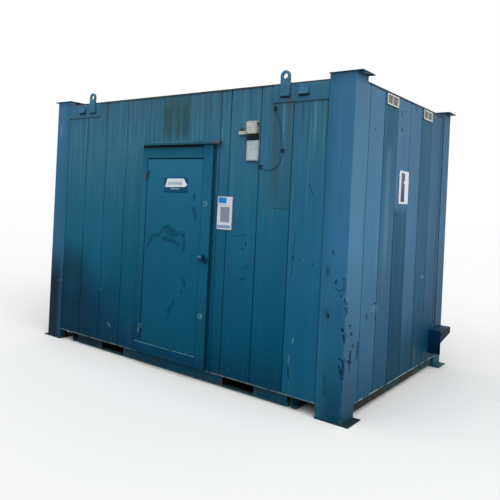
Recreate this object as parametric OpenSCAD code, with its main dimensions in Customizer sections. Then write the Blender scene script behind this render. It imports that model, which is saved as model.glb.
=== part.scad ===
// Portable steel site cabin with one outward-opening door.
// X runs along the door wall, -Y points out of the door, Z is up from the ground.
// Pieces are drawn about the middle of the four corner posts, and in_frame() then sets
// the whole cabin so that the centre of its outside box stands over the origin.

/* [Cabin] */
// Length over the corner posts
cabin_len = 3660; // [3400:10:4200]
// Width over the corner posts
cabin_wid = 2440; // [2200:10:2900]
// Height of the walls' top edge above the ground
wall_top = 2640; // [2560:10:2800]
// Height of the walls' bottom edge above the ground
wall_base = 110; // [90:5:140]
// Thickness of a wall, skin to lining
wall_t = 70; // [50:2:80]
// How far a wall's skin lies back from the posts' faces
wall_set = 6; // [3:1:12]
// Height of the folded lip along a wall's bottom edge
lip_h = 9; // [5:1:14]
// How far that lip stands out from the skin
lip_out = 5; // [2:1:6]

/* [Panel joints] */
// Distance between joints along the long walls
long_pitch = 316; // [300:2:320]
// Distance between joints along the end walls
end_pitch = 310; // [280:2:320]
// Joints on a long wall between each post and the middle
long_joints = 4; // [3:1:4]
// Joints on each side of an end wall's middle joint
end_joints = 3; // [2:1:3]
// Width of a joint at the skin
joint_w = 16; // [8:1:22]
// Width of a joint at its floor
joint_floor_w = 6; // [3:1:7]
// Depth of a joint
joint_d = 8; // [4:1:12]
// Distance of the door panel's own joint from the door frame
door_joint_gap = 38; // [30:1:50]

/* [Corner posts] */
// Width of a post on each of its two faces
post_face = 220; // [180:5:240]
// Thickness of a post's folded section
post_t = 76; // [60:2:80]
// Rise of a post's top above the roof's edge, under its cap
post_rise = 41; // [20:1:60]
// Radius of a post's outer fold
post_fold_r = 8; // [3:1:14]
// Thickness of cap and foot plates
plate_t = 8; // [5:1:12]
// How far a cap reaches past the cabin's end
cap_over = 52; // [20:1:60]
// How far a foot reaches past the cabin's end
foot_over = 60; // [20:1:80]
// How far caps and feet reach past the post on its other sides
plate_lap = 6; // [2:1:12]

/* [Roof and floor] */
// Thickness of the roof sheet at the eaves
roof_edge_t = 12; // [8:1:16]
// Rise of the roof from the eaves to its ridge
roof_rise = 34; // [16:2:60]
// How far the roof's end slopes reach in from the ends
roof_hip = 300; // [200:10:450]
// Thickness of the ceiling below the roof sheet
ceiling_t = 62; // [40:2:80]
// Width of a standing seam on the roof
seam_w = 24; // [16:2:32]
// Height of a standing seam on the roof
seam_h = 14; // [8:1:20]
// Length by which a seam stops short of the eaves
seam_end_gap = 90; // [60:5:160]
// Thickness of the floor
floor_t = 88; // [60:2:94]

/* [Base frame] */
// Height of the base rails' bottom edge
rail_base = 8; // [8:1:30]
// Height of the end rails' bottom edge
end_rail_base = 32; // [20:1:50]
// Distance of a long rail's face behind the posts' face
rail_set = 40; // [30:2:56]
// Distance of an end rail's face behind the posts' face
end_rail_set = 20; // [15:1:40]
// Width of a rail's flanges
rail_w = 55; // [45:1:70]
// Thickness of the folded rails
rail_t = 6; // [4:1:8]
// Length of a long rail from the middle to its end
rail_half = 1340; // [1300:5:1360]
// Gap between a long rail's end and the joist beside it
joist_gap = 36; // [20:1:60]
// Width of a joist
joist_w = 48; // [40:1:60]
// Distance between the two fork pockets' middles
pocket_gap = 1614; // [1200:2:1700]
// Place of the pockets' common middle along the cabin
pocket_mid = 37; // [-40:1:40]
// Outside width of a fork pocket
pocket_w = 350; // [240:2:380]
// Thickness of a fork pocket's plate
pocket_t = 6; // [4:1:8]

/* [Door frame] */
// Width of the hinge jamb's face
jamb_w = 63; // [56:1:70]
// Rise of the frame's bottom edge above the walls' bottom edge
frame_up = 17; // [4:1:24]
// Height of the threshold's face
sill_h = 98; // [80:1:120]
// Height of the head's face
head_h = 125; // [100:1:140]
// Gap between the leaf's top edge and the head
head_gap = 10; // [6:1:12]
// How far the frame stands out from the skin
frame_out = 36; // [28:1:44]
// How far the frame's face laps over the skin
frame_lap = 32; // [24:1:36]
// How far the lock jamb's face lies behind the frame's face
jamb_set = 13; // [13:1:18]
// Distance of the lock jamb's edge behind the cover plate's edge
jamb_short = 20; // [12:1:26]
// How far the frame's stop laps behind the leaf
stop_lap = 18; // [12:1:24]
// Distance of the drip channel's left end from the frame's edge
drip_in = 28; // [0:1:40]
// How far the drip channel reaches past the frame on the right
drip_over = 71; // [40:1:90]
// How far the drip channel stands out from the skin
drip_out = 52; // [46:1:70]
// Height of the drip channel's back
drip_h = 26; // [20:1:40]
// Thickness of the drip channel
drip_t = 4; // [3:1:6]

/* [Door leaf] */
// Place of the leaf's hinge-side edge along the cabin
leaf_left = -310; // [-320:1:-300]
// Width of the leaf
leaf_w = 750; // [740:1:780]
// Height of the leaf
leaf_h = 1800; // [1780:1:1830]
// Thickness of the leaf
leaf_t = 44; // [36:1:50]
// Depth of the leaf's face behind the frame's face
leaf_set = 8; // [6:1:8]
// Running gap around the leaf
leaf_gap = 5; // [5:0.5:8]
// How far the full-height plate over the lock side laps onto the leaf
cover_lap = 38; // [30:1:50]
// How far that plate reaches past the leaf's lock-side edge
cover_over = 67; // [60:1:80]
// Radius of a weld-on hinge
hinge_r = 8; // [7:0.5:9]
// Length of one half of a hinge
hinge_half = 46; // [40:1:60]
// Thickness of a hinge's welded wing where it leaves the barrel
hinge_wing_t = 9; // [8:0.5:10]
// Width of a hinge's wing from the hinge axis
hinge_wing_w = 26; // [22:1:32]
// Radius of a hinge pin
hinge_pin_r = 4; // [3:0.5:4.5]
// Height of the lower hinge's middle above the leaf's bottom edge
hinge_low_up = 130; // [110:1:200]
// Depth of the upper hinge's middle below the leaf's top edge
hinge_high_down = 150; // [120:1:240]
// Distance of locks and knob from the cover plate's left edge
lock_in = 39; // [32:1:50]
// Height of the upper lock above the leaf's bottom edge
lock_high_up = 1390; // [1300:1:1480]
// Height of the lower lock above the leaf's bottom edge
lock_low_up = 370; // [300:1:480]
// Radius of a lock's round cover
lock_r = 27; // [20:1:32]
// Thickness of a lock's round cover
lock_t = 7; // [5:1:10]
// Height of the knob above the leaf's bottom edge
knob_up = 905; // [800:1:1050]
// Radius of the knob
knob_r = 26; // [20:1:30]
// How far the knob stands out from the cover plate
knob_out = 64; // [56:1:80]

/* [Lifting points] */
// Distance of the lifting lugs from the posts' inner edges
lug_in = 397; // [340:1:420]
// Width of a lug
lug_w = 92; // [80:1:110]
// Thickness of a lug
lug_t = 16; // [12:1:22]
// Depth of a lug's bottom edge below the walls' top edge
lug_drop = 94; // [70:1:120]
// Rise of the eye's centre above the walls' top edge
eye_rise = 70; // [60:1:90]
// Radius of the eye
eye_r = 22; // [16:1:26]
// Height of the header plates below the walls' top edge
header_h = 148; // [130:1:170]
// Length of a header plate
header_len = 510; // [480:1:530]
// Gap between a header plate and the post beside it
header_gap = 4; // [2:1:8]
// Distance of the small cowls from the posts' inner edges
cowl_in = 225; // [200:1:250]
// Width of a cowl
cowl_w = 92; // [80:1:110]
// Height of a cowl
cowl_h = 58; // [50:1:72]
// Depth of a cowl's top edge below the walls' top edge
cowl_drop = 31; // [20:1:44]
// How far a cowl stands out at its bottom
cowl_out = 26; // [18:1:34]
// Thickness of a cowl's sheet
cowl_t = 3; // [2:0.5:4]

/* [Vents] */
// Distance of the vents from an end wall's middle
vent_y = 468; // [440:1:500]
// Width of a vent
vent_w = 256; // [220:1:280]
// Height of a vent
vent_h = 92; // [76:1:100]
// Depth of a vent's middle below the walls' top edge
vent_drop = 54; // [52:1:80]
// Thickness of a vent's raised rim
vent_t = 12; // [8:1:16]
// Width of a vent's rim
vent_rim = 11; // [8:1:16]
// Length of a vent's slot
slot_w = 36; // [28:1:38]
// Height of a vent's slot
slot_h = 8; // [5:1:9]

/* [Lamp and service pieces] */
// Distance of the lamp's middle from the right post's inner edge
lamp_in = 697; // [685:1:720]
// Depth of the lamp's middle below the walls' top edge
lamp_drop = 344; // [330:1:344]
// Width and height of the lamp's housing
lamp_w = 110; // [100:1:114]
// Depth of the lamp's housing
lamp_d = 46; // [36:1:60]
// Height of the bracket under the lamp
bracket_h = 50; // [36:1:52]
// Depth of the bracket under the lamp
bracket_d = 30; // [20:1:40]
// Length of the sensor arm beside the lamp
arm_w = 86; // [70:1:100]
// Height and depth of the sensor arm
arm_h = 28; // [20:1:32]
// Distance of the light cell's middle from the arm's free end
cell_in = 17; // [16:1:40]
// Radius of the light cell on the sensor arm
cell_r = 14; // [10:1:15]
// Height of the light cell
cell_h = 26; // [18:1:30]
// Distance of the junction box's middle from the right post's inner edge
box_in = 693; // [680:1:715]
// Depth of the junction box's middle below the walls' top edge
box_drop = 540; // [540:1:560]
// Width of the junction box
box_w = 120; // [105:1:140]
// Height of the junction box
box_h = 178; // [160:1:180]
// Depth of the junction box
box_d = 22; // [16:1:40]
// Corner radius of lamp and junction box
box_r = 16; // [8:1:20]
// Diameter of the lamp's cable
cable_d = 8; // [6:0.5:9]
// Gap between the cable and the skin
cable_gap = 1; // [0.8:0.1:2]
// Distance of the service hood's near side from the rear post's inner edge
hood_in = 184; // [150:1:220]
// Width of the service hood along the end wall
hood_w = 336; // [280:1:380]
// How far the service hood stands out from the posts' face
hood_out = 115; // [90:1:140]
// Height of the service hood's top above the walls' bottom edge
hood_up = 315; // [290:1:350]
// Height of the service hood's near side
hood_side_h = 240; // [200:1:280]
// Height of the hood's outer plate at its near end
hood_front_h = 122; // [100:1:150]
// Height of the hood's outer plate at its far end
hood_far_h = 62; // [40:1:90]
// Thickness of the service hood's plate
hood_t = 5; // [4:1:8]

/* [Hidden] */

// Half sizes over the posts, and where the posts' faces end
half_len = cabin_len / 2;
half_wid = cabin_wid / 2;
bay_x = half_len - post_face;
bay_y = half_wid - post_face;
// One overrun for every cut
cut_over = 2;
// Play of a hinge sleeve on its pin, and between the two halves of a hinge
pin_play = 0.05;
half_play = 0.6;
// Facets of round edges and of bored holes
edge_fn = 32;
bore_fn = 64;

// Skin and lining planes, as distances from the middle
skin_y = half_wid - wall_set;
skin_x = half_len - wall_set;
inner_y = skin_y - wall_t;
inner_x = skin_x - wall_t;

// Heights of what the walls, the floor and the roof carry
floor_top = wall_base + floor_t;
roof_edge = wall_top + roof_edge_t;
post_top = roof_edge + post_rise;
header_base = wall_top - header_h;
lug_base = wall_top - lug_drop;
eye_z = wall_top + eye_rise;
cowl_base = wall_top - cowl_drop - cowl_h;
vent_z = wall_top - vent_drop;
vent_inner_h = vent_h - 2 * vent_rim;
lamp_z = wall_top - lamp_drop;
box_z = wall_top - box_drop;
hood_top = wall_base + hood_up;

// Places along the cabin that count from the posts or the rails
joist_x = rail_half + joist_gap + joist_w / 2;
lug_x = bay_x - lug_in;
cowl_x = bay_x - cowl_in;
lamp_x = bay_x - lamp_in;
box_x = bay_x - box_in;
hood_y = bay_y - hood_in;

// Door planes, as distances from the middle towards the door side
frame_face = skin_y + frame_out;
leaf_face = frame_face - leaf_set;
leaf_back = leaf_face - leaf_t;
jamb_face = frame_face - jamb_set;
stop_face = leaf_back - leaf_gap;

// Hinge axis; the lock edge swings out a little as the leaf starts to turn
hinge_x = leaf_left - leaf_gap / 2;
hinge_y = frame_face + leaf_gap + hinge_r;
hinge_pin_h = hinge_half - 2 * hinge_pin_r;

// Outline of leaf, cover plate, frame and wall opening along the cabin
leaf_right = leaf_left + leaf_w;
swing_bulge = pow(hinge_y - leaf_back, 2) / (2 * (leaf_right - hinge_x));
lock_gap = leaf_gap + swing_bulge;
cover_left = leaf_right - cover_lap;
cover_right = leaf_right + cover_over;
frame_end = cover_left - leaf_gap;
jamb_right = cover_right - jamb_short;
lock_x = cover_left + lock_in;
frame_left = leaf_left - leaf_gap - jamb_w;
frame_right = cover_right + leaf_gap;
opening_left = frame_left + frame_lap;
opening_right = frame_right - frame_lap;
stop_left = leaf_left + stop_lap;
stop_right = leaf_right - stop_lap;
door_joint_x = frame_right + door_joint_gap;

// Heights of leaf, frame and wall opening
frame_base = wall_base + frame_up;
sill_top = frame_base + sill_h;
leaf_base = sill_top + leaf_gap;
leaf_top = leaf_base + leaf_h;
head_base = leaf_top + head_gap;
frame_top = head_base + head_h;
opening_top = frame_top - frame_lap;
cover_top = frame_top - leaf_gap;
hinge_low = leaf_base + hinge_low_up;
hinge_high = leaf_top - hinge_high_down;
lock_low = leaf_base + lock_low_up;
lock_high = leaf_base + lock_high_up;
knob_z = leaf_base + knob_up;

// Outside box, and the step that brings its middle to the origin
left_reach = half_len + max(foot_over, cap_over);
right_reach = max(left_reach, half_len + hood_out);
front_reach = frame_face + knob_out;
rear_reach = half_wid + max(lug_t, cowl_out, plate_lap);
mid_x = (right_reach - left_reach) / 2;
mid_y = (rear_reach - front_reach) / 2;

// Joint places from the middle, lowest first
left_joints = [for (k = [1:long_joints]) k * long_pitch - bay_x];
right_joints = [for (k = [long_joints:-1:1]) bay_x - k * long_pitch];
rear_joints = concat(left_joints, [0], right_joints);
end_places = [for (k = [-end_joints:end_joints]) k * end_pitch];

// Slots of a vent, as shares of its width and of the height inside its rim
vent_column_shares = [-0.31, -0.15, 0.15, 0.31];
vent_row_shares = [-0.38, -0.19, 0, 0.19, 0.38];
vent_stagger_share = 0.07;
vent_field_share = 0.6;

// Turned shape of the knob, as shares of its radius: neck, rose and the rose's thickness
knob_shares = [0.42, 0.9, 0.2];

// Step of a box's lid, outwards and inwards
lid_step = 5;
lid_set = 4;

// Points on the cable's route, across and up from the junction box's middle; the third
// entry is above zero where a clip holds the cable
cable_steps = [[34, -90, 0], [40, -104, 0], [55, -121, 0], [84, -137, 1], [119, -156, 0],
               [158, -163, 0], [201, -158, 0], [243, -138, 0], [273, -95, 0], [288, -48, 0],
               [291, -5, 1], [287, 80, 0], [276, 150, 0], [259, 220, 0], [235, 290, 0],
               [207, 347, 1], [189, 389, 0]];
cable_route = [for (p = cable_steps) [box_x + p[0], box_z + p[1]]];
clip_points = [for (p = cable_steps) if (p[2] > 0) [box_x + p[0], box_z + p[1]]];
cable_sides = 8;
cable_out = cable_d / 2 + cable_gap;
clip_w = 26;
clip_h = 30;
clip_wall = 3;
clip_play = 0.4;

module in_frame() translate([-mid_x, -mid_y, 0]) children();

module block(low, high) translate(low) cube(high - low);

// Turns what is drawn with its outside towards -Y so that it faces the given way
module facing_front(out) translate([0, -out, 0]) children();
module facing_rear(out) rotate([0, 0, 180]) facing_front(out) children();
module facing_right(out) rotate([0, 0, 90]) facing_front(out) children();
module facing_left(out) rotate([0, 0, -90]) facing_front(out) children();

// Stands a flat outline up: its second coordinate becomes height, its depth runs along +Y
module upright(depth) translate([0, depth, 0]) rotate([90, 0, 0]) linear_extrude(depth) children();

// Runs a Y-Z outline along X between two places
module run_x(from_x, to_x)
    translate([from_x, 0, 0]) rotate([90, 0, 90]) linear_extrude(to_x - from_x) children();

module rounded_rect(wide, high, r) {
    square([wide - 2 * r, high], center = true);
    square([wide, high - 2 * r], center = true);
    for (x = [-1, 1], y = [-1, 1])
        translate([x * (wide / 2 - r), y * (high / 2 - r)]) circle(r, $fn = edge_fn);
}

function joint_points(at) = [
    [at - joint_w / 2, 0], [at - joint_floor_w / 2, joint_d],
    [at + joint_floor_w / 2, joint_d], [at + joint_w / 2, 0]];

// A folded-panel wall with its skin at y = 0; either end may be half of a joint
module panel_wall(from_x, to_x, joints, base = wall_base, half_start = false, half_end = false) {
    inside = [for (j = joints) if (j - joint_w > from_x && j + joint_w < to_x) j];
    start = half_start
        ? [[from_x, joint_d], [from_x + joint_floor_w / 2, joint_d], [from_x + joint_w / 2, 0]]
        : [[from_x, 0]];
    finish = half_end
        ? [[to_x - joint_w / 2, 0], [to_x - joint_floor_w / 2, joint_d], [to_x, joint_d]]
        : [[to_x, 0]];
    outline = concat(start, [for (j = inside) each joint_points(j)], finish,
                     [[to_x, wall_t], [from_x, wall_t]]);
    translate([0, 0, base]) linear_extrude(wall_top - base) polygon(outline);
}

module wall_lip(from_x, to_x)
    block([from_x, -lip_out, wall_base], [to_x, joint_d + lip_out, wall_base + lip_h]);

module front_wall_left() color("#22647f") in_frame() facing_front(skin_y) {
    panel_wall(-bay_x, opening_left, left_joints, half_end = true);
    wall_lip(-bay_x, frame_left);
}

module front_wall_right() color("#22647f") in_frame() facing_front(skin_y) {
    panel_wall(opening_right, bay_x, concat([door_joint_x], right_joints));
    wall_lip(frame_right, bay_x);
}

module front_wall_over_door() color("#2c6c86") in_frame() facing_front(skin_y)
    panel_wall(opening_left, opening_right, [], base = opening_top, half_start = true);

module rear_wall() color("#22647f") in_frame() facing_rear(skin_y) {
    panel_wall(-bay_x, bay_x, rear_joints);
    wall_lip(-bay_x, bay_x);
}

module end_wall() {
    panel_wall(-bay_y, bay_y, end_places);
    wall_lip(-bay_y, bay_y);
}

module left_end_wall() color("#4a7896") in_frame() facing_left(skin_x) end_wall();
module right_end_wall() color("#4a7896") in_frame() facing_right(skin_x) end_wall();

// A post's folded L section, with its outer corner at the plan's origin
module post_section() {
    translate([post_fold_r, 0]) square([post_face - post_fold_r, post_t]);
    translate([0, post_fold_r]) square([post_t, post_face - post_fold_r]);
    translate([post_fold_r, post_fold_r]) circle(post_fold_r, $fn = edge_fn);
}

module end_plate(over)
    block([-over, -plate_lap, 0], [post_face + plate_lap, post_face + plate_lap, plate_t]);

// One corner post; the sides are -1 or 1 along X and Y
module corner_post(side_x, side_y)
    in_frame()
    mirror([side_x > 0 ? 1 : 0, 0, 0]) mirror([0, side_y > 0 ? 1 : 0, 0])
    translate([-half_len, -half_wid, 0]) {
        end_plate(foot_over);
        translate([0, 0, plate_t]) linear_extrude(post_top - plate_t) post_section();
        translate([0, 0, post_top]) end_plate(cap_over);
    }

module corner_post_front_left() color("#2f6288") corner_post(-1, -1);
module corner_post_front_right() color("#2f6288") corner_post(1, -1);
module corner_post_rear_left() color("#2f6288") corner_post(-1, 1);
module corner_post_rear_right() color("#2f6288") corner_post(1, 1);

// Height of the roof sheet's top at a distance from the ridge
function roof_at(y) = roof_edge + roof_rise * (1 - abs(y) / half_wid);

module roof_section()
    polygon([[-half_wid, wall_top], [half_wid, wall_top], [half_wid, roof_at(half_wid)],
             [0, roof_at(0)], [-half_wid, roof_at(half_wid)]]);

// Section along the cabin, with a slope at each end
module roof_length() rotate([90, 0, 0]) linear_extrude(2 * half_wid, center = true)
    polygon([[-half_len, wall_top], [half_len, wall_top], [half_len, roof_edge],
             [half_len - roof_hip, roof_at(0)], [roof_hip - half_len, roof_at(0)],
             [-half_len, roof_edge]]);

module seam_section() {
    reach = half_wid - seam_end_gap;
    polygon([[-reach, roof_edge], [reach, roof_edge],
             [reach, roof_at(reach)], [reach - 2 * seam_h, roof_at(reach) + seam_h],
             [0, roof_at(0) + seam_h], [2 * seam_h - reach, roof_at(reach) + seam_h],
             [-reach, roof_at(reach)]]);
}

module roof_panel() color("#3b4a4f") in_frame() {
    difference() {
        intersection() {
            run_x(-half_len, half_len) roof_section();
            roof_length();
        }
        for (side_x = [0, 1], side_y = [0, 1])
            mirror([side_x, 0, 0]) mirror([0, side_y, 0])
            translate([-half_len, -half_wid, wall_top - cut_over])
            linear_extrude(roof_rise + roof_edge_t + 2 * cut_over) {
                translate([-cut_over, -cut_over]) square([post_face + cut_over, post_t + cut_over]);
                translate([-cut_over, -cut_over]) square([post_t + cut_over, post_face + cut_over]);
            }
    }
    block([-inner_x, -inner_y, wall_top - ceiling_t], [inner_x, inner_y, wall_top + roof_edge_t / 2]);
    for (x = rear_joints) run_x(x - seam_w / 2, x + seam_w / 2) seam_section();
}

module floor_deck() color("#8c7350") in_frame()
    block([-inner_x, -inner_y, wall_base], [inner_x, inner_y, floor_top]);

// A folded channel section: its web stands at y = 0 and its flanges run towards +Y
module channel_section(base, top)
    polygon([[0, base], [rail_w, base], [rail_w, base + rail_t], [rail_t, base + rail_t],
             [rail_t, top - rail_t], [rail_w, top - rail_t], [rail_w, top], [0, top]]);

pocket_left = pocket_mid - pocket_gap / 2;
pocket_right = pocket_mid + pocket_gap / 2;

// Three lengths of rail, with the fork pockets' mouths between them
module long_rail(first, second) {
    run_x(-rail_half, first - pocket_w / 2) channel_section(rail_base, wall_base);
    run_x(first + pocket_w / 2, second - pocket_w / 2) channel_section(rail_base, wall_base);
    run_x(second + pocket_w / 2, rail_half) channel_section(rail_base, wall_base);
}

module base_rail_front() color("#1f5f6b") in_frame()
    facing_front(half_wid - rail_set) long_rail(pocket_left, pocket_right);
module base_rail_rear() color("#1f5f6b") in_frame()
    facing_rear(half_wid - rail_set) long_rail(-pocket_right, -pocket_left);
module end_rail() run_x(-bay_y, bay_y) channel_section(end_rail_base, wall_base);
module base_rail_left() color("#1f5f6b") in_frame()
    facing_left(half_len - end_rail_set) end_rail();
module base_rail_right() color("#1f5f6b") in_frame()
    facing_right(half_len - end_rail_set) end_rail();

// A fork pocket: a plate tube that runs through the base from front to rear
module fork_pocket(at) in_frame() {
    reach = half_wid - rail_set;
    difference() {
        block([at - pocket_w / 2, -reach, rail_base], [at + pocket_w / 2, reach, wall_base]);
        block([at - pocket_w / 2 + pocket_t, -reach - cut_over, rail_base + pocket_t],
              [at + pocket_w / 2 - pocket_t, reach + cut_over, wall_base - pocket_t]);
    }
}

module fork_pocket_left() color("#24666f") fork_pocket(pocket_left);
module fork_pocket_right() color("#24666f") fork_pocket(pocket_right);

module joist(at, reach) translate([at - joist_w / 2, 0, 0]) rotate([0, 0, -90])
    run_x(-reach, reach)
    polygon([[0, rail_base], [joist_w, rail_base], [joist_w, rail_base + rail_t],
             [rail_t, rail_base + rail_t], [rail_t, wall_base - rail_t],
             [joist_w, wall_base - rail_t], [joist_w, wall_base], [0, wall_base]]);

module cross_joists() color("#1d5158") in_frame() {
    for (x = [-joist_x, joist_x]) joist(x, half_wid - rail_set);
    joist(pocket_mid, half_wid - rail_set - rail_w);
}

// Door frame: each member is a folded section that laps over the skin, fills the wall's
// thickness and carries a stop behind the leaf
module jamb(section) in_frame()
    translate([0, 0, sill_top]) linear_extrude(head_base - sill_top) polygon(section);

module door_jamb_hinge() color("#1e5c7a")
    jamb([[frame_left, -frame_face], [leaf_left - leaf_gap, -frame_face],
          [leaf_left - leaf_gap, -stop_face], [stop_left, -stop_face],
          [stop_left, -inner_y], [opening_left, -inner_y],
          [opening_left, -skin_y], [frame_left, -skin_y]]);

module door_jamb_lock() color("#1e5c7a")
    jamb([[leaf_right + lock_gap, -jamb_face], [jamb_right, -jamb_face],
          [jamb_right, -skin_y], [opening_right, -skin_y], [opening_right, -inner_y],
          [stop_right, -inner_y], [stop_right, -stop_face],
          [leaf_right + lock_gap, -stop_face]]);

// Head and threshold stop short of the cover plate and step back behind it
module frame_member(base, top) {
    block([frame_left, -frame_face, base], [frame_end, -skin_y, top]);
    block([opening_left, -jamb_face, base], [jamb_right, -skin_y, top]);
}

module door_head() color("#1e5c7a") in_frame() {
    frame_member(head_base, frame_top);
    block([opening_left, -jamb_face, head_base], [opening_right, -inner_y, opening_top]);
    block([stop_left, -stop_face, leaf_top - stop_lap], [stop_right, -inner_y, opening_top]);
}

module door_threshold() color("#1e5c7a") in_frame() {
    frame_member(frame_base, sill_top);
    block([opening_left, -skin_y, wall_base], [opening_right, -inner_y, sill_top]);
}

module drip_channel() color("#2a6a86") in_frame() {
    top = frame_top + drip_h;
    lip = skin_y + drip_out;
    run_x(frame_left + drip_in, frame_right + drip_over)
        polygon([[-skin_y, top], [-lip, top], [-lip, frame_top], [drip_t - lip, frame_top],
                 [drip_t - lip, top - drip_t], [-skin_y, top - drip_t]]);
}

// Places its children at both hinges, on the hinge axis
module at_hinges() in_frame()
    for (z = [hinge_low, hinge_high]) translate([hinge_x, -hinge_y, z]) children();

// Fixed halves: a barrel below each hinge's middle, its pin, and a wing on the jamb's face
module hinge_pins() color("#5a6b70") at_hinges() {
    wing_face = hinge_y - frame_face;
    translate([0, 0, -hinge_half]) cylinder(hinge_half - half_play / 2, r = hinge_r, $fn = bore_fn);
    translate([0, 0, -half_play]) cylinder(hinge_pin_h + half_play, r = hinge_pin_r, $fn = bore_fn);
    block([-hinge_wing_w, wing_face - hinge_wing_t, -hinge_half], [0, wing_face, -half_play / 2]);
}

// Moving halves: a barrel bored over each pin, and a wing on the leaf's face
module hinge_sleeves() color("#4f6a74") at_hinges() {
    wing_root = hinge_y - frame_face - hinge_wing_t;
    difference() {
        union() {
            translate([0, 0, half_play / 2])
                cylinder(hinge_half - half_play / 2, r = hinge_r, $fn = bore_fn);
            block([leaf_left - hinge_x, wing_root, half_play / 2],
                  [hinge_wing_w, hinge_y - leaf_face, hinge_half]);
        }
        translate([0, 0, -cut_over])
            cylinder(hinge_pin_h + half_play + cut_over, r = hinge_pin_r + pin_play, $fn = bore_fn);
    }
}

module door_leaf() color("#1b5b79") in_frame()
    block([leaf_left, -leaf_face, leaf_base], [leaf_right, -leaf_back, leaf_top]);

// The plate that covers the lock side's gap from the threshold's bottom up to the drip
// channel, welded along the leaf's face
module lock_cover_plate() color("#1b5b79") in_frame()
    block([cover_left, -frame_face, frame_base], [cover_right, -leaf_face, cover_top]);

// Puts a turned shape on the cover plate's face, its axis pointing out of the door
module on_cover(z) in_frame() translate([lock_x, -frame_face, z]) rotate([90, 0, 0]) children();

module lock_escutcheons() color("#6d8490") {
    dome_r = lock_r / 3;
    for (z = [lock_low, lock_high]) on_cover(z) rotate_extrude($fn = bore_fn)
        polygon([[0, 0], [lock_r, 0], [lock_r, lock_t / 2], [lock_r - lock_t / 2, lock_t],
                 [lock_r / 2, lock_t], [lock_r / 2, lock_t / 2], [dome_r, lock_t / 2],
                 [dome_r, lock_t], [0, lock_t]]);
}

module door_knob() color("#4f7486") {
    neck_r = knob_r * knob_shares[0];
    rose_r = knob_r * knob_shares[1];
    rose_t = knob_r * knob_shares[2];
    ball_at = knob_out - knob_r;
    on_cover(knob_z) rotate_extrude($fn = bore_fn) intersection() {
        union() {
            square([rose_r, rose_t]);
            square([neck_r, ball_at]);
            translate([0, ball_at]) circle(knob_r, $fn = bore_fn);
        }
        square([knob_r, knob_out]);
    }
}

// A header plate with its cowl, at the left end of a long wall whose skin is at y = 0
module header_plate() {
    from_x = header_gap - bay_x;
    block([from_x, -wall_set, header_base], [from_x + header_len, 0, wall_top]);
    translate([-cowl_x, -wall_set, cowl_base]) cowl();
}

// A small folded cowl, closed above and at its cheeks, open below
module cowl() {
    brow = cowl_t * 2;
    difference() {
        run_x(-cowl_w / 2, cowl_w / 2)
            polygon([[0, 0], [-cowl_out, 0], [-brow, cowl_h], [0, cowl_h]]);
        run_x(cowl_t - cowl_w / 2, cowl_w / 2 - cowl_t)
            polygon([[-cowl_t, -cut_over], [cowl_t - cowl_out, -cut_over],
                     [cowl_t - cowl_out, 0], [-brow, cowl_h - 3 * cowl_t],
                     [-cowl_t, cowl_h - 3 * cowl_t]]);
    }
}

module header_pair() {
    header_plate();
    mirror([1, 0, 0]) header_plate();
}

module header_plates_front() color("#25678a") in_frame() facing_front(skin_y) header_pair();
module header_plates_rear() color("#25678a") in_frame() facing_rear(skin_y) header_pair();

// A lifting lug: a round-topped plate with its eye bored through
module lifting_lug(at) translate([at, -lug_t, 0]) upright(lug_t) difference() {
    union() {
        translate([-lug_w / 2, lug_base]) square([lug_w, eye_z - lug_base]);
        translate([0, eye_z]) circle(lug_w / 2, $fn = bore_fn);
    }
    translate([0, eye_z]) circle(eye_r, $fn = bore_fn);
}

module lifting_lug_front_left() color("#2b7596") in_frame() facing_front(half_wid) lifting_lug(-lug_x);
module lifting_lug_front_right() color("#2b7596") in_frame() facing_front(half_wid) lifting_lug(lug_x);
module lifting_lug_rear_left() color("#2b7596") in_frame() facing_rear(half_wid) lifting_lug(lug_x);
module lifting_lug_rear_right() color("#2b7596") in_frame() facing_rear(half_wid) lifting_lug(-lug_x);

// A vent plate with a raised rim and staggered slots, on a skin at y = 0
module vent() translate([0, -vent_t, vent_z]) difference() {
    upright(vent_t) rounded_rect(vent_w, vent_h, vent_rim / 2);
    translate([0, -cut_over, 0]) upright(vent_t * (1 - vent_field_share) + cut_over)
        square([vent_w - 2 * vent_rim, vent_inner_h], center = true);
    translate([0, -cut_over, 0]) upright(vent_t + 2 * cut_over)
        for (c = [0:len(vent_column_shares) - 1], row = vent_row_shares)
            translate([vent_column_shares[c] * vent_w,
                       (row + (c % 2 == 0 ? 1 : -1) * vent_stagger_share / 2) * vent_inner_h])
            square([slot_w, slot_h], center = true);
}

module vent_pair() for (y = [-vent_y, vent_y]) translate([y, 0, 0]) vent();

module vents_right() color("#d8d6cc") in_frame() facing_right(skin_x) vent_pair();
module vents_left() color("#d8d6cc") in_frame() facing_left(skin_x) vent_pair();

// A shallow box with round corners and a stepped lid, on a skin at y = 0
module lidded_box(wide, high, deep) {
    translate([0, -deep + lid_step, 0]) upright(deep - lid_step) rounded_rect(wide, high, box_r);
    translate([0, -deep, 0]) upright(lid_step + cut_over)
        rounded_rect(wide - 2 * lid_set, high - 2 * lid_set, box_r - lid_set);
}

module lamp_housing() color("#cfccc0") in_frame() facing_front(skin_y)
    translate([lamp_x, 0, lamp_z]) lidded_box(lamp_w, lamp_w, lamp_d);

module junction_box() color("#c9cbd0") in_frame() facing_front(skin_y)
    translate([box_x, 0, box_z]) lidded_box(box_w, box_h, box_d);

// The dark bracket that hangs from the lamp down to the junction box
module lamp_bracket() color("#16202b") in_frame() facing_front(skin_y)
    translate([lamp_x, 0, lamp_z - lamp_w / 2])
    block([-lamp_w / 2 + lid_set, -bracket_d, -bracket_h], [lamp_w / 2, 0, 0]);

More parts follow.
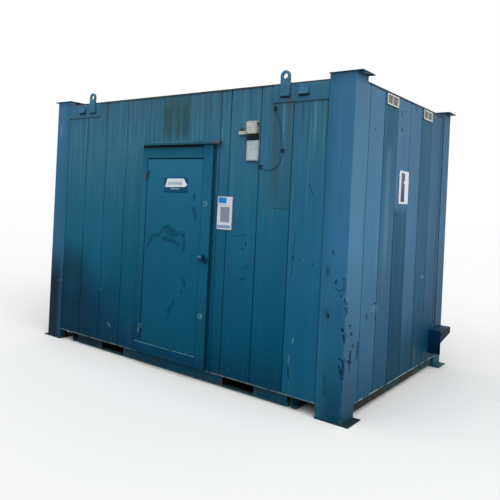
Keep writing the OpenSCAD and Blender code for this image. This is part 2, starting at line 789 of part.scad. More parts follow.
module lamp_sensor() color("#dedfdc") in_frame() facing_front(skin_y)
    translate([lamp_x - lamp_w / 2, 0, lamp_z - lamp_w / 2]) {
        block([-arm_w, -arm_h, 0], [0, 0, arm_h]);
        translate([cell_in - arm_w, -arm_h / 2, arm_h - cut_over])
            cylinder(cell_h + cut_over, r = cell_r, $fn = edge_fn);
    }

// A tube swept along the cable's route; its rings stand square to the route
function route_dir(k) = let (last = len(cable_route) - 1,
                             step = cable_route[min(k + 1, last)] - cable_route[max(k - 1, 0)])
    step / norm(step);
function route_ring(k, r, out) = let (dir = route_dir(k)) [for (i = [0:cable_sides - 1])
    let (turn = 360 * i / cable_sides)
    [cable_route[k][0] - dir[1] * r * cos(turn), -out - r * sin(turn),
     cable_route[k][1] + dir[0] * r * cos(turn)]];

module route_tube(r, out) {
    rings = len(cable_route);
    points = [for (k = [0:rings - 1]) each route_ring(k, r, out)];
    sides = [for (k = [0:rings - 2], i = [0:cable_sides - 1])
        let (a = k * cable_sides + i, b = k * cable_sides + (i + 1) % cable_sides)
        [a, a + cable_sides, b + cable_sides, b]];
    first = [for (i = [0:cable_sides - 1]) i];
    final = [for (i = [cable_sides - 1:-1:0]) (rings - 1) * cable_sides + i];
    polyhedron(points, concat(sides, [first, final]), convexity = 4);
}

module lamp_cable() color("#1d2b33") in_frame() facing_front(skin_y)
    route_tube(cable_d / 2, cable_out);

module cable_clips() color("#242a2e") in_frame() facing_front(skin_y) difference() {
    for (p = clip_points) translate([p[0], 0, p[1]])
        block([-clip_w / 2, -cable_d - clip_wall, -clip_h / 2], [clip_w / 2, 0, clip_h / 2]);
    route_tube(cable_d / 2 + clip_play, cable_out);
}

// The plate hood low on the right end wall: open below, its outer plate cut on a slant
module service_hood() color("#2a6580") in_frame() {
    face = half_len + hood_out;
    far = hood_y + hood_w;
    block([skin_x, hood_y, hood_top - hood_t], [face, bay_y, hood_top]);
    block([half_len, hood_y, hood_top - hood_t], [face, far, hood_top]);
    block([skin_x, hood_y, hood_top - hood_side_h], [face, hood_y + hood_t, hood_top]);
    block([half_len, far - hood_t, hood_top - hood_far_h], [face, far, hood_top]);
    translate([face - hood_t, 0, 0]) rotate([90, 0, 90]) linear_extrude(hood_t)
        polygon([[hood_y, hood_top], [far, hood_top], [far, hood_top - hood_far_h],
                 [hood_y, hood_top - hood_front_h]]);
}

base_rail_front();
base_rail_rear();
base_rail_left();
base_rail_right();
fork_pocket_left();
fork_pocket_right();
cross_joists();
floor_deck();
corner_post_front_left();
corner_post_front_right();
corner_post_rear_left();
corner_post_rear_right();
front_wall_left();
front_wall_right();
front_wall_over_door();
rear_wall();
left_end_wall();
right_end_wall();
roof_panel();
header_plates_front();
header_plates_rear();
lifting_lug_front_left();
lifting_lug_front_right();
lifting_lug_rear_left();
lifting_lug_rear_right();
door_head();
door_jamb_hinge();
door_jamb_lock();
door_threshold();
drip_channel();
hinge_pins();
hinge_sleeves();
door_leaf();
lock_cover_plate();
door_knob();
lock_escutcheons();
vents_right();
vents_left();
lamp_housing();
lamp_bracket();
lamp_sensor();
junction_box();
lamp_cable();
cable_clips();
service_hood();
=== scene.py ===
import bpy
import numpy as np
from mathutils import Matrix, Vector


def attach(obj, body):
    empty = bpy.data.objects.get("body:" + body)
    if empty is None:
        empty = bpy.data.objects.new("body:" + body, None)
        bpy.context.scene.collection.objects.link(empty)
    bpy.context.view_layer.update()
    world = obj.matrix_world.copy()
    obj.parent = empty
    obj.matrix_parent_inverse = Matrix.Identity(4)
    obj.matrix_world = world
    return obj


# Portable site cabin: finishes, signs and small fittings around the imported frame.
# All places are metres in the frame's own axes: +X along the door wall, -Y out of the door, +Z up.

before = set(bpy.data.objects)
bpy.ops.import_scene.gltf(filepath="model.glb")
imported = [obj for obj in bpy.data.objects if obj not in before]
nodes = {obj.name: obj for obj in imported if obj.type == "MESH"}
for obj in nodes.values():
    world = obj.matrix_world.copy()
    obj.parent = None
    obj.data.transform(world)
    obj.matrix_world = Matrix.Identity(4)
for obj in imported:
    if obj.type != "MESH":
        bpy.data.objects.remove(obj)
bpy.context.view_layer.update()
print("frame loaded,", len(nodes), "nodes")

# places that several pieces share
cabin = {
    "skinFront": -1.18,                     # door wall's skin
    "skinEnd": 1.7965,                      # right end wall's skin
    "leafFace": -1.208,
    "plateFace": -1.186,                    # header plates and posts
    "middleX": -0.0275, "middleY": 0.034,
    # from the cabin's middle: skins, lining, posts' inner edges
    "halfX": 1.824, "halfY": 1.214,
    "insideX": 1.7545, "insideY": 1.1445,
    "bayX": 1.61, "bayY": 1,
}

# camera
cameraValues = {
    "place": (3.634771, -5.22494, 1.682981),
    "right": (0.7757, 0.629321, 0.047373),
    "down": (0.035976, 0.030848, -0.998876),
    "forward": (-0.630075, 0.776533, 0.001288),
    "focalPixels": 567.708, "centreX": 202.6755, "centreY": 196.2008,
    "picture": 500, "sensor": 36,
}


def makeCamera(values):
    data = bpy.data.cameras.new("cabinCamera")
    data.sensor_width = values["sensor"]
    data.lens = values["focalPixels"] * values["sensor"] / values["picture"]
    data.shift_x = (values["picture"] / 2 - values["centreX"]) / values["picture"]
    data.shift_y = (values["centreY"] - values["picture"] / 2) / values["picture"]
    data.clip_start, data.clip_end = 0.05, 200
    camera = bpy.data.objects.new("cabinCamera", data)
    axes = Matrix((values["right"], [-v for v in values["down"]], [-v for v in values["forward"]])).transposed()
    camera.matrix_world = Matrix.Translation(values["place"]) @ axes.to_4x4()
    bpy.context.scene.collection.objects.link(camera)
    bpy.context.scene.camera = camera


makeCamera(cameraValues)
print("camera made")


# screen values 0 to 255 turned into the linear colour that a shader wants
def tone(screen):
    screen = np.array(screen) / 255
    linear = np.where(screen <= 0.04045, screen / 12.92, ((screen + 0.055) / 1.055) ** 2.4)
    return (*linear.tolist(), 1)


# a number that changes over a surface; the signs of arithmetic work on it
class Pattern:
    def __init__(self, finish, socket):
        self.calc, self.socket = finish.calc, socket

    def __add__(self, other):
        return self.calc("ADD", self, other)

    def __mul__(self, other):
        return self.calc("MULTIPLY", self, other)

    def __sub__(self, other):
        return self.calc("SUBTRACT", self, other)

    def __rsub__(self, other):
        return self.calc("SUBTRACT", other, self)

    def __truediv__(self, other):
        return self.calc("DIVIDE", self, other)

    def __abs__(self):
        return self.calc("ABSOLUTE", self)

    __radd__, __rmul__ = __add__, __mul__


# collects the nodes of one material; every pattern reads Object coordinates in metres
class Finish:
    def __init__(self, name):
        self.material = bpy.data.materials.new(name)
        self.material.use_nodes = True
        self.tree = self.material.node_tree
        self.tree.nodes.clear()
        source = self.add("TexCoord")
        self.place = source.outputs["Object"]
        self.x, self.y, self.z = self.split(self.place)
        self.faceX, self.faceY, self.faceZ = self.split(source.outputs["Normal"])

    def add(self, kind, values=None, **settings):
        node = self.tree.nodes.new("ShaderNode" + kind)
        for key, value in settings.items():
            setattr(node, key, value)
        for key, value in (values or {}).items():
            value = getattr(value, "socket", value)
            if isinstance(value, bpy.types.NodeSocket):
                self.tree.links.new(value, node.inputs[key])
            else:
                node.inputs[key].default_value = tone(value) if node.inputs[key].type == "RGBA" else value
        return node

    def number(self, kind, values, output=0, **settings):
        return Pattern(self, self.add(kind, values, **settings).outputs[output])

    def vector(self, operation, values):
        return self.add("VectorMath", values, operation=operation).outputs[0]

    def split(self, vector):
        return [Pattern(self, part) for part in self.add("SeparateXYZ", {0: vector}).outputs]

    def calc(self, operation, a, b=0):
        values = {0: a} if operation in ("ABSOLUTE", "FLOOR", "FRACT") else {0: a, 1: b}
        return self.number("Math", values, operation=operation)

    def least(self, first, *others):
        for other in others:
            first = self.calc("MINIMUM", first, other)
        return first

    def most(self, first, *others):
        for other in others:
            first = self.calc("MAXIMUM", first, other)
        return first

    # 0 below low, 1 above high, smooth between; fall is the other way round
    def rise(self, value, low, high, start=0, end=1):
        values = {0: value, 1: low, 2: high, 3: start, 4: end}
        return self.number("MapRange", values, interpolation_type="SMOOTHSTEP")

    def fall(self, value, low, high):
        return self.rise(value, low, high, 1, 0)

    # 1 between low and high, with soft edges of the given width
    def band(self, value, low, high, edge):
        return self.rise(value, low - edge, low + edge) * self.fall(value, high - edge, high + edge)

    def patch(self, across, low, high, edge, bottom, top, edgeZ):
        return self.band(across, low, high, edge) * self.band(self.z, bottom, top, edgeZ)

    def turned(self, stretch, shift):
        return self.add("Mapping", {0: self.place, 1: shift, 3: stretch}).outputs[0]

    def noise(self, scale, stretch=(1, 1, 1), detail=3, rough=0.55, bend=0, shift=(0, 0, 0)):
        return self.number("TexNoise", {"Vector": self.turned(stretch, shift), "Scale": scale, "Detail": detail,
                                        "Roughness": rough, "Distortion": bend})

    def spots(self, low, high, *values, **named):
        return self.rise(self.noise(*values, **named), low, high)

    # one random number for each whole step
    def lot(self, number):
        return self.number("TexWhiteNoise", {"W": self.calc("FLOOR", number)}, noise_dimensions="1D")

    def streaks(self, across, along, detail=3, shift=(0, 0, 0)):
        return self.noise(1, (across, across, along), detail, 0.6, 0, shift)

    def reach(self, point):
        return self.number("VectorMath", {0: self.place, 1: point}, 1, operation="DISTANCE")

    # distance from the nearest of some short lines, less its half width; each line is (across, up,
    # across, up, half width) in millimetres, and noise makes its edge wander
    def nearest(self, across, lines, wander=0.01, scale=30):
        sway = [(self.noise(scale, shift=(place, 0, place)) - 0.5) * wander for place in (0, 1.7)]
        here = self.add("CombineXYZ", {0: across + sway[0], 2: self.z + sway[1]}).outputs[0]
        gaps = []
        for line in lines:
            a0, z0, a1, z1, half = (v / 1000 for v in line)
            run = (a1 - a0, 0, z1 - z0)
            size = run[0] ** 2 + run[2] ** 2
            past = self.vector("SUBTRACT", {0: here, 1: (a0, 0, z0)})
            along = {0: past, 1: tuple(v / size for v in run)}
            share = self.most(self.least(self.number("VectorMath", along, 1, operation="DOT_PRODUCT"), 1), 0)
            ends = {0: past, 1: self.vector("SCALE", {0: run, 3: share})}
            gaps.append(self.number("VectorMath", ends, 1, operation="DISTANCE") - half)
        return self.least(*gaps)

    def blend(self, share, under, over):
        return self.add("Mix", {0: share, 6: under, 7: over}, data_type="RGBA").outputs[2]

    def coat(self, over, share):
        self.colour = self.blend(share, self.colour, over)

    # colours by height: stops are (height in metres, colour)
    def byHeight(self, stops, top=2.8):
        ramp = self.add("ValToRGB", {0: self.z / top})
        points = ramp.color_ramp.elements
        while len(points) < len(stops):
            points.new(0.5)
        for point, (height, colour) in zip(points, stops):
            point.position = height / top
        for point, (height, colour) in zip(points, stops):
            point.color = tone(colour)
        return ramp.outputs[0]

    # brightens and darkens a colour by a value round 0.5; mottle does it to the coats so far
    def vary(self, colour, value, amount):
        gain = value * (2 * amount) + (1 - amount)
        return self.add("HueSaturation", {"Value": gain, "Color": colour}).outputs[0]

    def mottle(self, value, amount):
        self.colour = self.vary(self.colour, value, amount)

    def finish(self, roughness=0.5, metallic=0, height=None, bump=0.3, depth=0.002, specular=0.5):
        shader = self.add("BsdfPrincipled", {"Base Color": self.colour, "Roughness": roughness,
                                             "Metallic": metallic, "Specular IOR Level": specular})
        relief = self.add("Bump", {"Height": height, "Strength": bump, "Distance": depth})
        self.tree.links.new(relief.outputs[0], shader.inputs["Normal"])
        self.tree.links.new(shader.outputs[0], self.add("OutputMaterial").inputs[0])
        return self.material


def dress(starts, material):
    for name in nodes:
        if name.startswith(starts):
            for slot in nodes[name].material_slots:
                slot.material = material


# wall paint
paintGloss = {"wall": 0.05, "post": 0.08, "door": 0.06, "frame": 0.05}

wallPaint = {
    "fade": [(0.12, (0, 50, 75)), (0.5, (0, 71, 100)), (0.95, (14, 81, 110)),
             (1.5, (28, 91, 119)), (2.2, (50, 103, 129)), (2.64, (54, 101, 124))],
    "lowLeft": (0, 36, 56), "lowRight": (24, 92, 126),
    "paleRun": (92, 142, 150), "darkRun": (14, 64, 80), "growth": (42, 66, 60),
    "grime": (60, 78, 74), "brown": (74, 70, 68), "chip": (4, 40, 58), "pale": (112, 146, 156),
    "seam": (2, 30, 42), "seamRust": (58, 56, 44), "lip": (104, 118, 118), "lining": (206, 204, 196),
    "panelPitch": 0.316, "panelTint": 0.04,
    # marks: (across, up, across, up, half width) in millimetres
    "knocks": [(854, 1305, 858, 1287, 6), (812, 1252, 828, 1250, 5), (870, 1116, 874, 1088, 5),
               (837, 1094, 844, 1088, 4), (812, 998, 839, 980, 5), (839, 980, 868, 1009, 4),
               (1321, 1230, 1327, 1222, 8), (1507, 1196, 1509, 1187, 5), (-1330, 1228, -1321, 1173, 6),
               (569, 520, 573, 506, 4), (1444, 1822, 1478, 1738, 2), (1334, 1428, 1322, 1231, 1.5),
               (1323, 1219, 1314, 1085, 1.5), (715, 1349, 858, 1373, 1.5), (1110, 1618, 1258, 1614, 1.5),
               (1334, 250, 1326, 330, 6)],
    "bare": [(1364, 584, 1355, 542, 5), (1330, 433, 1322, 374, 4), (1420, 1224, 1423, 1218, 4),
             (729, 186, 734, 181, 6), (-1016, 650, -976, 650, 3), (-853, 317, -812, 285, 8)],
}


def insideCabin(p):
    lengthways = p.fall(abs(p.x - cabin["middleX"]), cabin["insideX"] - 0.001, cabin["insideX"] + 0.003)
    return lengthways * p.fall(abs(p.y - cabin["middleY"]), cabin["insideY"] - 0.001, cabin["insideY"] + 0.003)


def makeLongWall():
    v = wallPaint
    p = Finish("longWallPaint")
    depth = cabin["halfY"] - abs(p.y - cabin["middleY"])   # inside the skin
    front = p.fall(p.y, -0.3, 0)
    # left and right of the door the panels count from different joints
    side = p.rise(p.x, 0.1, 0.101)
    count = (p.x + (0.0575 - side * 0.06)) / v["panelPitch"]
    lot = p.lot(count)
    broad = p.streaks(9, 0.5)
    fine = p.streaks(48, 0.9, 4, (3.1, 0.7, 0.2))
    cloud = p.noise(1.6, (1, 1, 0.7), 4, 0.6, 0.6)
    # colour by height, paler near the eaves and darker towards the ground: partly the paint's own fading, partly
    # painted shade from the ground
    p.colour = p.byHeight(v["fade"])
    # the left end is painted dark near the ground, partly its own paint and partly painted shade; the right end
    # stays lighter
    tide = p.z + (p.streaks(5, 1.2, 4) - 0.5) * 0.35
    p.coat(v["lowLeft"], p.fall(p.x, -1.45, -0.3) * p.fall(tide, 0.45, 1) * 0.82)
    soot = p.fall(p.x, -1.42, -1.1) * p.band(p.z + (p.streaks(34, 1, 4) - 0.5) * 0.9, 0.62, 1.02, 0.14)
    p.coat((2, 40, 50), soot * 0.62)
    p.coat(v["lowRight"], p.rise(p.x, 1.255, 1.275) * p.fall(p.z, 0.9, 1.9) * 0.62)
    # the last panel is bluer at chest height, and so is a patch beside the lamp
    lampSide = p.patch(p.x, 0.985, 1.06, 0.01, 1.93, 2.3, 0.06) * p.fall(p.y, -1, -0.9)
    bluer = p.most(p.rise(p.x, 1.255, 1.275) * p.band(p.z, 1.05, 2.1, 0.35), lampSide)
    p.coat((44, 104, 140), bluer * 0.5)
    p.mottle(lot, v["panelTint"])
    p.mottle(broad, 0.09)
    p.mottle(cloud, 0.15)
    # fine runs down the sheet, most near the eaves
    eaves = 0.12 + p.rise(p.z, 1.3, 2.3) * 0.88
    p.coat(v["paleRun"], p.rise(fine, 0.53, 0.7) * eaves * 0.46)
    p.coat(v["darkRun"], p.fall(fine, 0.3, 0.46) * eaves * 0.66)
    # green-brown growth above the door
    spread = p.streaks(22, 1.6, 4, (0.4, 0, 1.3))
    growth = p.most(p.patch(p.x, -0.175, -0.075, 0.045, 2.22, 2.58, 0.09),
                    p.patch(p.x, -0.04, 0.15, 0.05, 2.22, 2.58, 0.08),
                    p.patch(p.x, -0.18, 0.17, 0.06, 2.2, 2.66, 0.06) * 0.55)
    growth = growth * front * p.rise(spread, 0.26, 0.6)
    p.coat(v["growth"], growth * 0.8)
    topGrime = p.rise(p.z, 2.25, 2.66) * p.rise(spread, 0.42, 0.66)
    p.coat(v["grime"], topGrime * (0.12 + p.fall(p.x, 0.4, 0.9) * 0.28))
    # brown runs under the right header plate, and beside the lamp
    drip = p.streaks(30, 0.8, 4, (0.9, 0.2, 0.3))
    wander = p.x + (p.noise(0.9, (0.2, 0.2, 1)) - 0.5) * 0.04
    stain = p.most(p.patch(wander, 1.07, 1.15, 0.022, 1.7, 2.6, 0.1),
                   p.patch(wander, 1.212, 1.258, 0.016, 1.7, 2.6, 0.16) * 0.85,
                   p.patch(wander, 1.02, 1.26, 0.05, 1.62, 2.6, 0.06) * 0.5)
    stain = stain * front * p.rise(drip, 0.22, 0.5)
    p.coat((50, 76, 80), stain * 0.55)
    redStain = p.patch(wander, 1.222, 1.256, 0.01, 2.2, 2.52, 0.1) * front * p.rise(drip, 0.36, 0.58)
    p.coat(v["brown"], redStain * 0.62)
    bright = p.patch(wander, 1.165, 1.192, 0.006, 2.02, 2.52, 0.12) * front
    p.coat((84, 142, 170), bright * 0.35)
    # knocks and scratches on the door wall
    gap = p.nearest(p.x, v["knocks"])
    p.coat(v["chip"], p.fall(gap, -0.001, 0.004) * front * 0.75)
    pale = p.nearest(p.x, v["bare"], 0.014)
    p.coat(v["pale"], p.fall(pale, -0.002, 0.005) * front * p.rise(drip, 0.3, 0.6) * 0.38)
    # spatter and growth along the bottom
    splash = p.fall(p.z, 0.12, 0.5) * p.spots(0.45, 0.7, 7, (1, 1, 1.6), 5, 0.65)
    p.coat((20, 58, 66), splash * 0.35)
    grain = p.noise(60, detail=4)
    # dirt in the joints and beside the posts, with rust near the eaves
    seam = p.most(p.rise(depth, 0.005, 0.0072),
                  p.rise(abs(p.x - cabin["middleX"]), cabin["bayX"] - 0.01, cabin["bayX"] - 0.006))
    p.coat(v["seam"], seam * 0.6)
    # painted shade on the wall beside the door frame's right side, below the drip channel
    beside = front * p.band(p.x, 0.45, 0.5, 0.006) * p.fall(p.z, 2.14, 2.17)
    p.coat((0, 44, 62), beside * 0.6)
    p.coat(v["seamRust"], seam * p.rise(p.z, 2, 2.5) * p.spots(0.42, 0.58, 16, (1, 1, 0.4)) * 0.7)
    # a pale line along the skin's bottom lip: a painted highlight, broken up by wear spots
    p.coat(v["lip"], p.fall(depth, -0.003, -0.001) * p.spots(0.34, 0.55, 14, detail=4) * 0.8)
    # lining boards inside
    p.coat(v["lining"], insideCabin(p))
    rough = 0.4 + broad * 0.12 + grain * 0.08 + growth * 0.2
    dents = p.noise(2.2, (1, 1, 0.6), 2) + p.noise(180, detail=2) * 0.03 + fine * 0.02
    return p.finish(rough, height=dents, bump=0.35, depth=0.006, specular=paintGloss["wall"])


dress(("front_wall", "rear_wall"), makeLongWall())
print("long walls painted")

endPaint = {
    "fade": [(0.12, (20, 66, 90)), (0.55, (44, 88, 118)), (1.45, (62, 107, 140)), (2.5, (68, 107, 137))],
    "kept": [(0.12, (0, 52, 72)), (0.8, (4, 62, 90)), (1.8, (32, 82, 110)), (2.6, (40, 88, 110))],
    "chip": (4, 38, 62), "pale": (150, 176, 186), "seam": (6, 34, 54),
    "panelPitch": 0.31, "panelTint": 0.04,
    "knocks": [(-192, 2526, -192, 2484, 9), (-184, 2376, -160, 2361, 10), (-228, 1621, -237, 1593, 8),
               (-105, 2544, -98, 2536, 6), (172, 2603, 180, 2598, 12), (-773, 2308, -768, 2304, 8),
               (-772, 788, -778, 753, 10), (-635, 868, -589, 860, 6), (-574, 735, -578, 720, 6),
               (-950, 572, -906, 588, 8.5), (-950, 543, -906, 559, 8.5), (-950, 514, -906, 530, 8.5),
               (-950, 485, -908, 501, 7.5), (-948, 460, -918, 470, 6.5)],
    "bare": [(566, 998, 572, 984, 9), (-567, 850, -545, 799, 4), (-720, 842, -560, 832, 1.5),
             (-700, 824, -540, 812, 1.5), (-690, 806, -545, 796, 1.5), (46, 1899, 74, 1896, 5)],
    "ventY": (-0.434, 0.502), "ventHalf": 0.122, "ventLow": 2.545, "ventHigh": 2.627,
}


def makeEndWall():
    v = endPaint
    p = Finish("endWallPaint")
    depth = cabin["halfX"] - abs(p.x - cabin["middleX"])
    right = p.rise(p.x, 0, 0.3)
    lot = p.lot((p.y - 0.034) / v["panelPitch"] + 7)
    p.colour = p.byHeight(v["fade"])
    far = p.rise(p.y, 0, 1.1)
    p.mottle(0.55 + p.fall(p.y, -0.59, -0.584) * 0.42 - far, 0.2)
    # paint kept dark where the vents and the sign shed water
    run = p.streaks(26, 0.5, 3, (0.6, 0.1, 0.2))
    nearVent = p.band(p.y, -0.584, -0.278, 0.004) * (0.4 + p.rise(p.z, 1.3, 2.3) * 0.6)
    farVent = p.band(p.y, 0.346, 0.652, 0.004) * (0.62 + p.rise(p.z, 1.2, 2.2) * 0.38)
    underSign = p.band(p.y, -0.274, 0.032, 0.004) * p.fall(p.z, 1.6, 1.72) * right
    kept = p.most(nearVent, farVent, underSign) * (0.45 + run * 1)
    p.coat(p.byHeight(v["kept"]), p.least(kept, 1))
    # a paler run down the middle of the panel under the near vent
    paler = p.band(p.y, -0.5, -0.39, 0.02) * p.fall(p.z, 2.12, 2.25) * p.rise(p.z, 0.9, 1.5) * right
    p.coat((84, 130, 152), paler * 0.35)
    p.mottle(lot, v["panelTint"])
    broad = p.streaks(10, 0.45, 3, (1.2, 0.4, 0))
    fine = p.streaks(55, 0.7, 4, (0.2, 3.7, 0.6))
    cloud = p.noise(1.5, (1, 1, 0.7), 4, 0.6, 0.6, (5, 0, 0))
    p.mottle(broad, 0.13)
    p.mottle(cloud, 0.12)
    p.coat((112, 150, 172), p.rise(fine, 0.56, 0.72) * 0.28)
    p.coat((28, 70, 92), p.fall(fine, 0.32, 0.44) * 0.3)
    # dark growth rising from the ground in the middle panels
    wave = p.z + (p.streaks(16, 0.8, 4) - 0.5) * 0.9
    low = p.fall(wave, 0.2, 0.85) * p.band(p.y, -0.3, 0.95, 0.08)
    p.coat((0, 50, 72), low * 0.85)
    rust = p.patch(p.y, 0.425, 0.45, 0.012, 0.17, 0.3, 0.03) * p.spots(0.36, 0.55, 30) * right
    p.coat((104, 100, 82), rust * 0.75)
    gap = p.nearest(p.y, v["knocks"], 0.014)
    p.coat(v["chip"], p.fall(gap, -0.001, 0.005) * right * 0.86)
    pale = p.nearest(p.y, v["bare"], 0.008)
    p.coat(v["pale"], p.fall(pale, -0.001, 0.003) * right * (0.25 + p.rise(p.y, 0, 0.05) * 0.5))
    grain = p.noise(60, detail=4)
    splash = p.fall(p.z, 0.13, 0.45) * p.spots(0.42, 0.7, 8, (1, 1, 1.6), 5, 0.65)
    p.coat((30, 62, 74), splash * 0.4)
    seam = p.most(p.rise(depth, 0.0015, 0.005),
                  p.rise(abs(p.y - cabin["middleY"]), cabin["bayY"] - 0.009, cabin["bayY"] - 0.006))
    p.coat(v["seam"], seam * 0.65)
    # a pale line along the skin's bottom lip: a painted highlight, broken up by wear spots
    lip = p.fall(depth, -0.003, -0.001) * p.spots(0.36, 0.56, 11, detail=4)
    p.coat((128, 160, 166), lip * 0.8)
    # no light comes back out of the vents' slots
    slots = p.most(*[p.band(p.y, y - v["ventHalf"], y + v["ventHalf"], 0.001) for y in v["ventY"]])
    hidden = slots * p.band(p.z, v["ventLow"], v["ventHigh"], 0.001)
    p.coat((14, 14, 15), hidden * (1 - insideCabin(p)))
    p.coat(wallPaint["lining"], insideCabin(p))
    rough = 0.44 + broad * 0.12 + grain * 0.08
    dents = p.noise(2, (1, 1, 0.6), 2, shift=(0, 4, 0)) + p.noise(180, detail=2) * 0.03
    return p.finish(rough, height=dents, bump=0.35, depth=0.006, specular=paintGloss["wall"])


dress(("left_end", "right_end"), makeEndWall())
print("end walls painted")

postPaint = {
    "front": [(0, (0, 56, 80)), (0.55, (26, 86, 116)), (1.4, (48, 103, 142)), (2.65, (56, 104, 140))],
    "ends": [(0, (14, 58, 80)), (0.55, (43, 90, 119)), (1.4, (71, 120, 152)), (2.65, (66, 110, 139))],
    "inner": (30, 90, 118), "lowLeft": (4, 30, 48),
    "chip": (3, 34, 54), "chipFade": [(0, (0, 38, 58)), (0.7, (0, 40, 64)), (0.98, (8, 60, 98))],
    "rim": (112, 152, 176), "rust": (108, 72, 50),
    "frontKnocks": [(1677, 1321, 1681, 1290, 6), (1637, 1160, 1640, 1150, 4), (1713, 1091, 1711, 1074, 9),
                    (1753, 1121, 1780, 1110, 4), (1710, 1036, 1740, 1013, 4), (1740, 1013, 1768, 1029, 4),
                    (1759, 988, 1762, 972, 5), (1784, 962, 1800, 924, 5), (1792, 902, 1800, 872, 6),
                    (1780, 736, 1787, 716, 7), (1788, 690, 1798, 633, 5), (1760, 504, 1796, 491, 4),
                    (1764, 451, 1798, 350, 6), (1799, 492, 1788, 370, 6), (1797, 346, 1800, 250, 3)],
    "frontHole": [(1657, 818, 1660, 810, 10)],
    "soft": [(1652, 337, 1657, 206, 14), (1640, 850, 1655, 790, 14), (1635, 1180, 1640, 1130, 16),
             (1785, 1100, 1778, 1020, 10)],
    "endKnocks": [(-1111, 762, -1092, 726, 3), (-1120, 752, -1075, 739, 3), (-1077, 685, -1060, 677, 10),
                  (-1071, 536, -1077, 449, 14), (-1124, 480, -1052, 455, 8), (-1077, 449, -1075, 388, 6),
                  (-1030, 583, -1038, 576, 10), (-1170, 935, -1178, 922, 8), (-1162, 896, -1176, 880, 10),
                  (-1164, 864, -1178, 846, 10), (-1176, 700, -1180, 630, 6), (-1174, 500, -1180, 360, 8)],
}


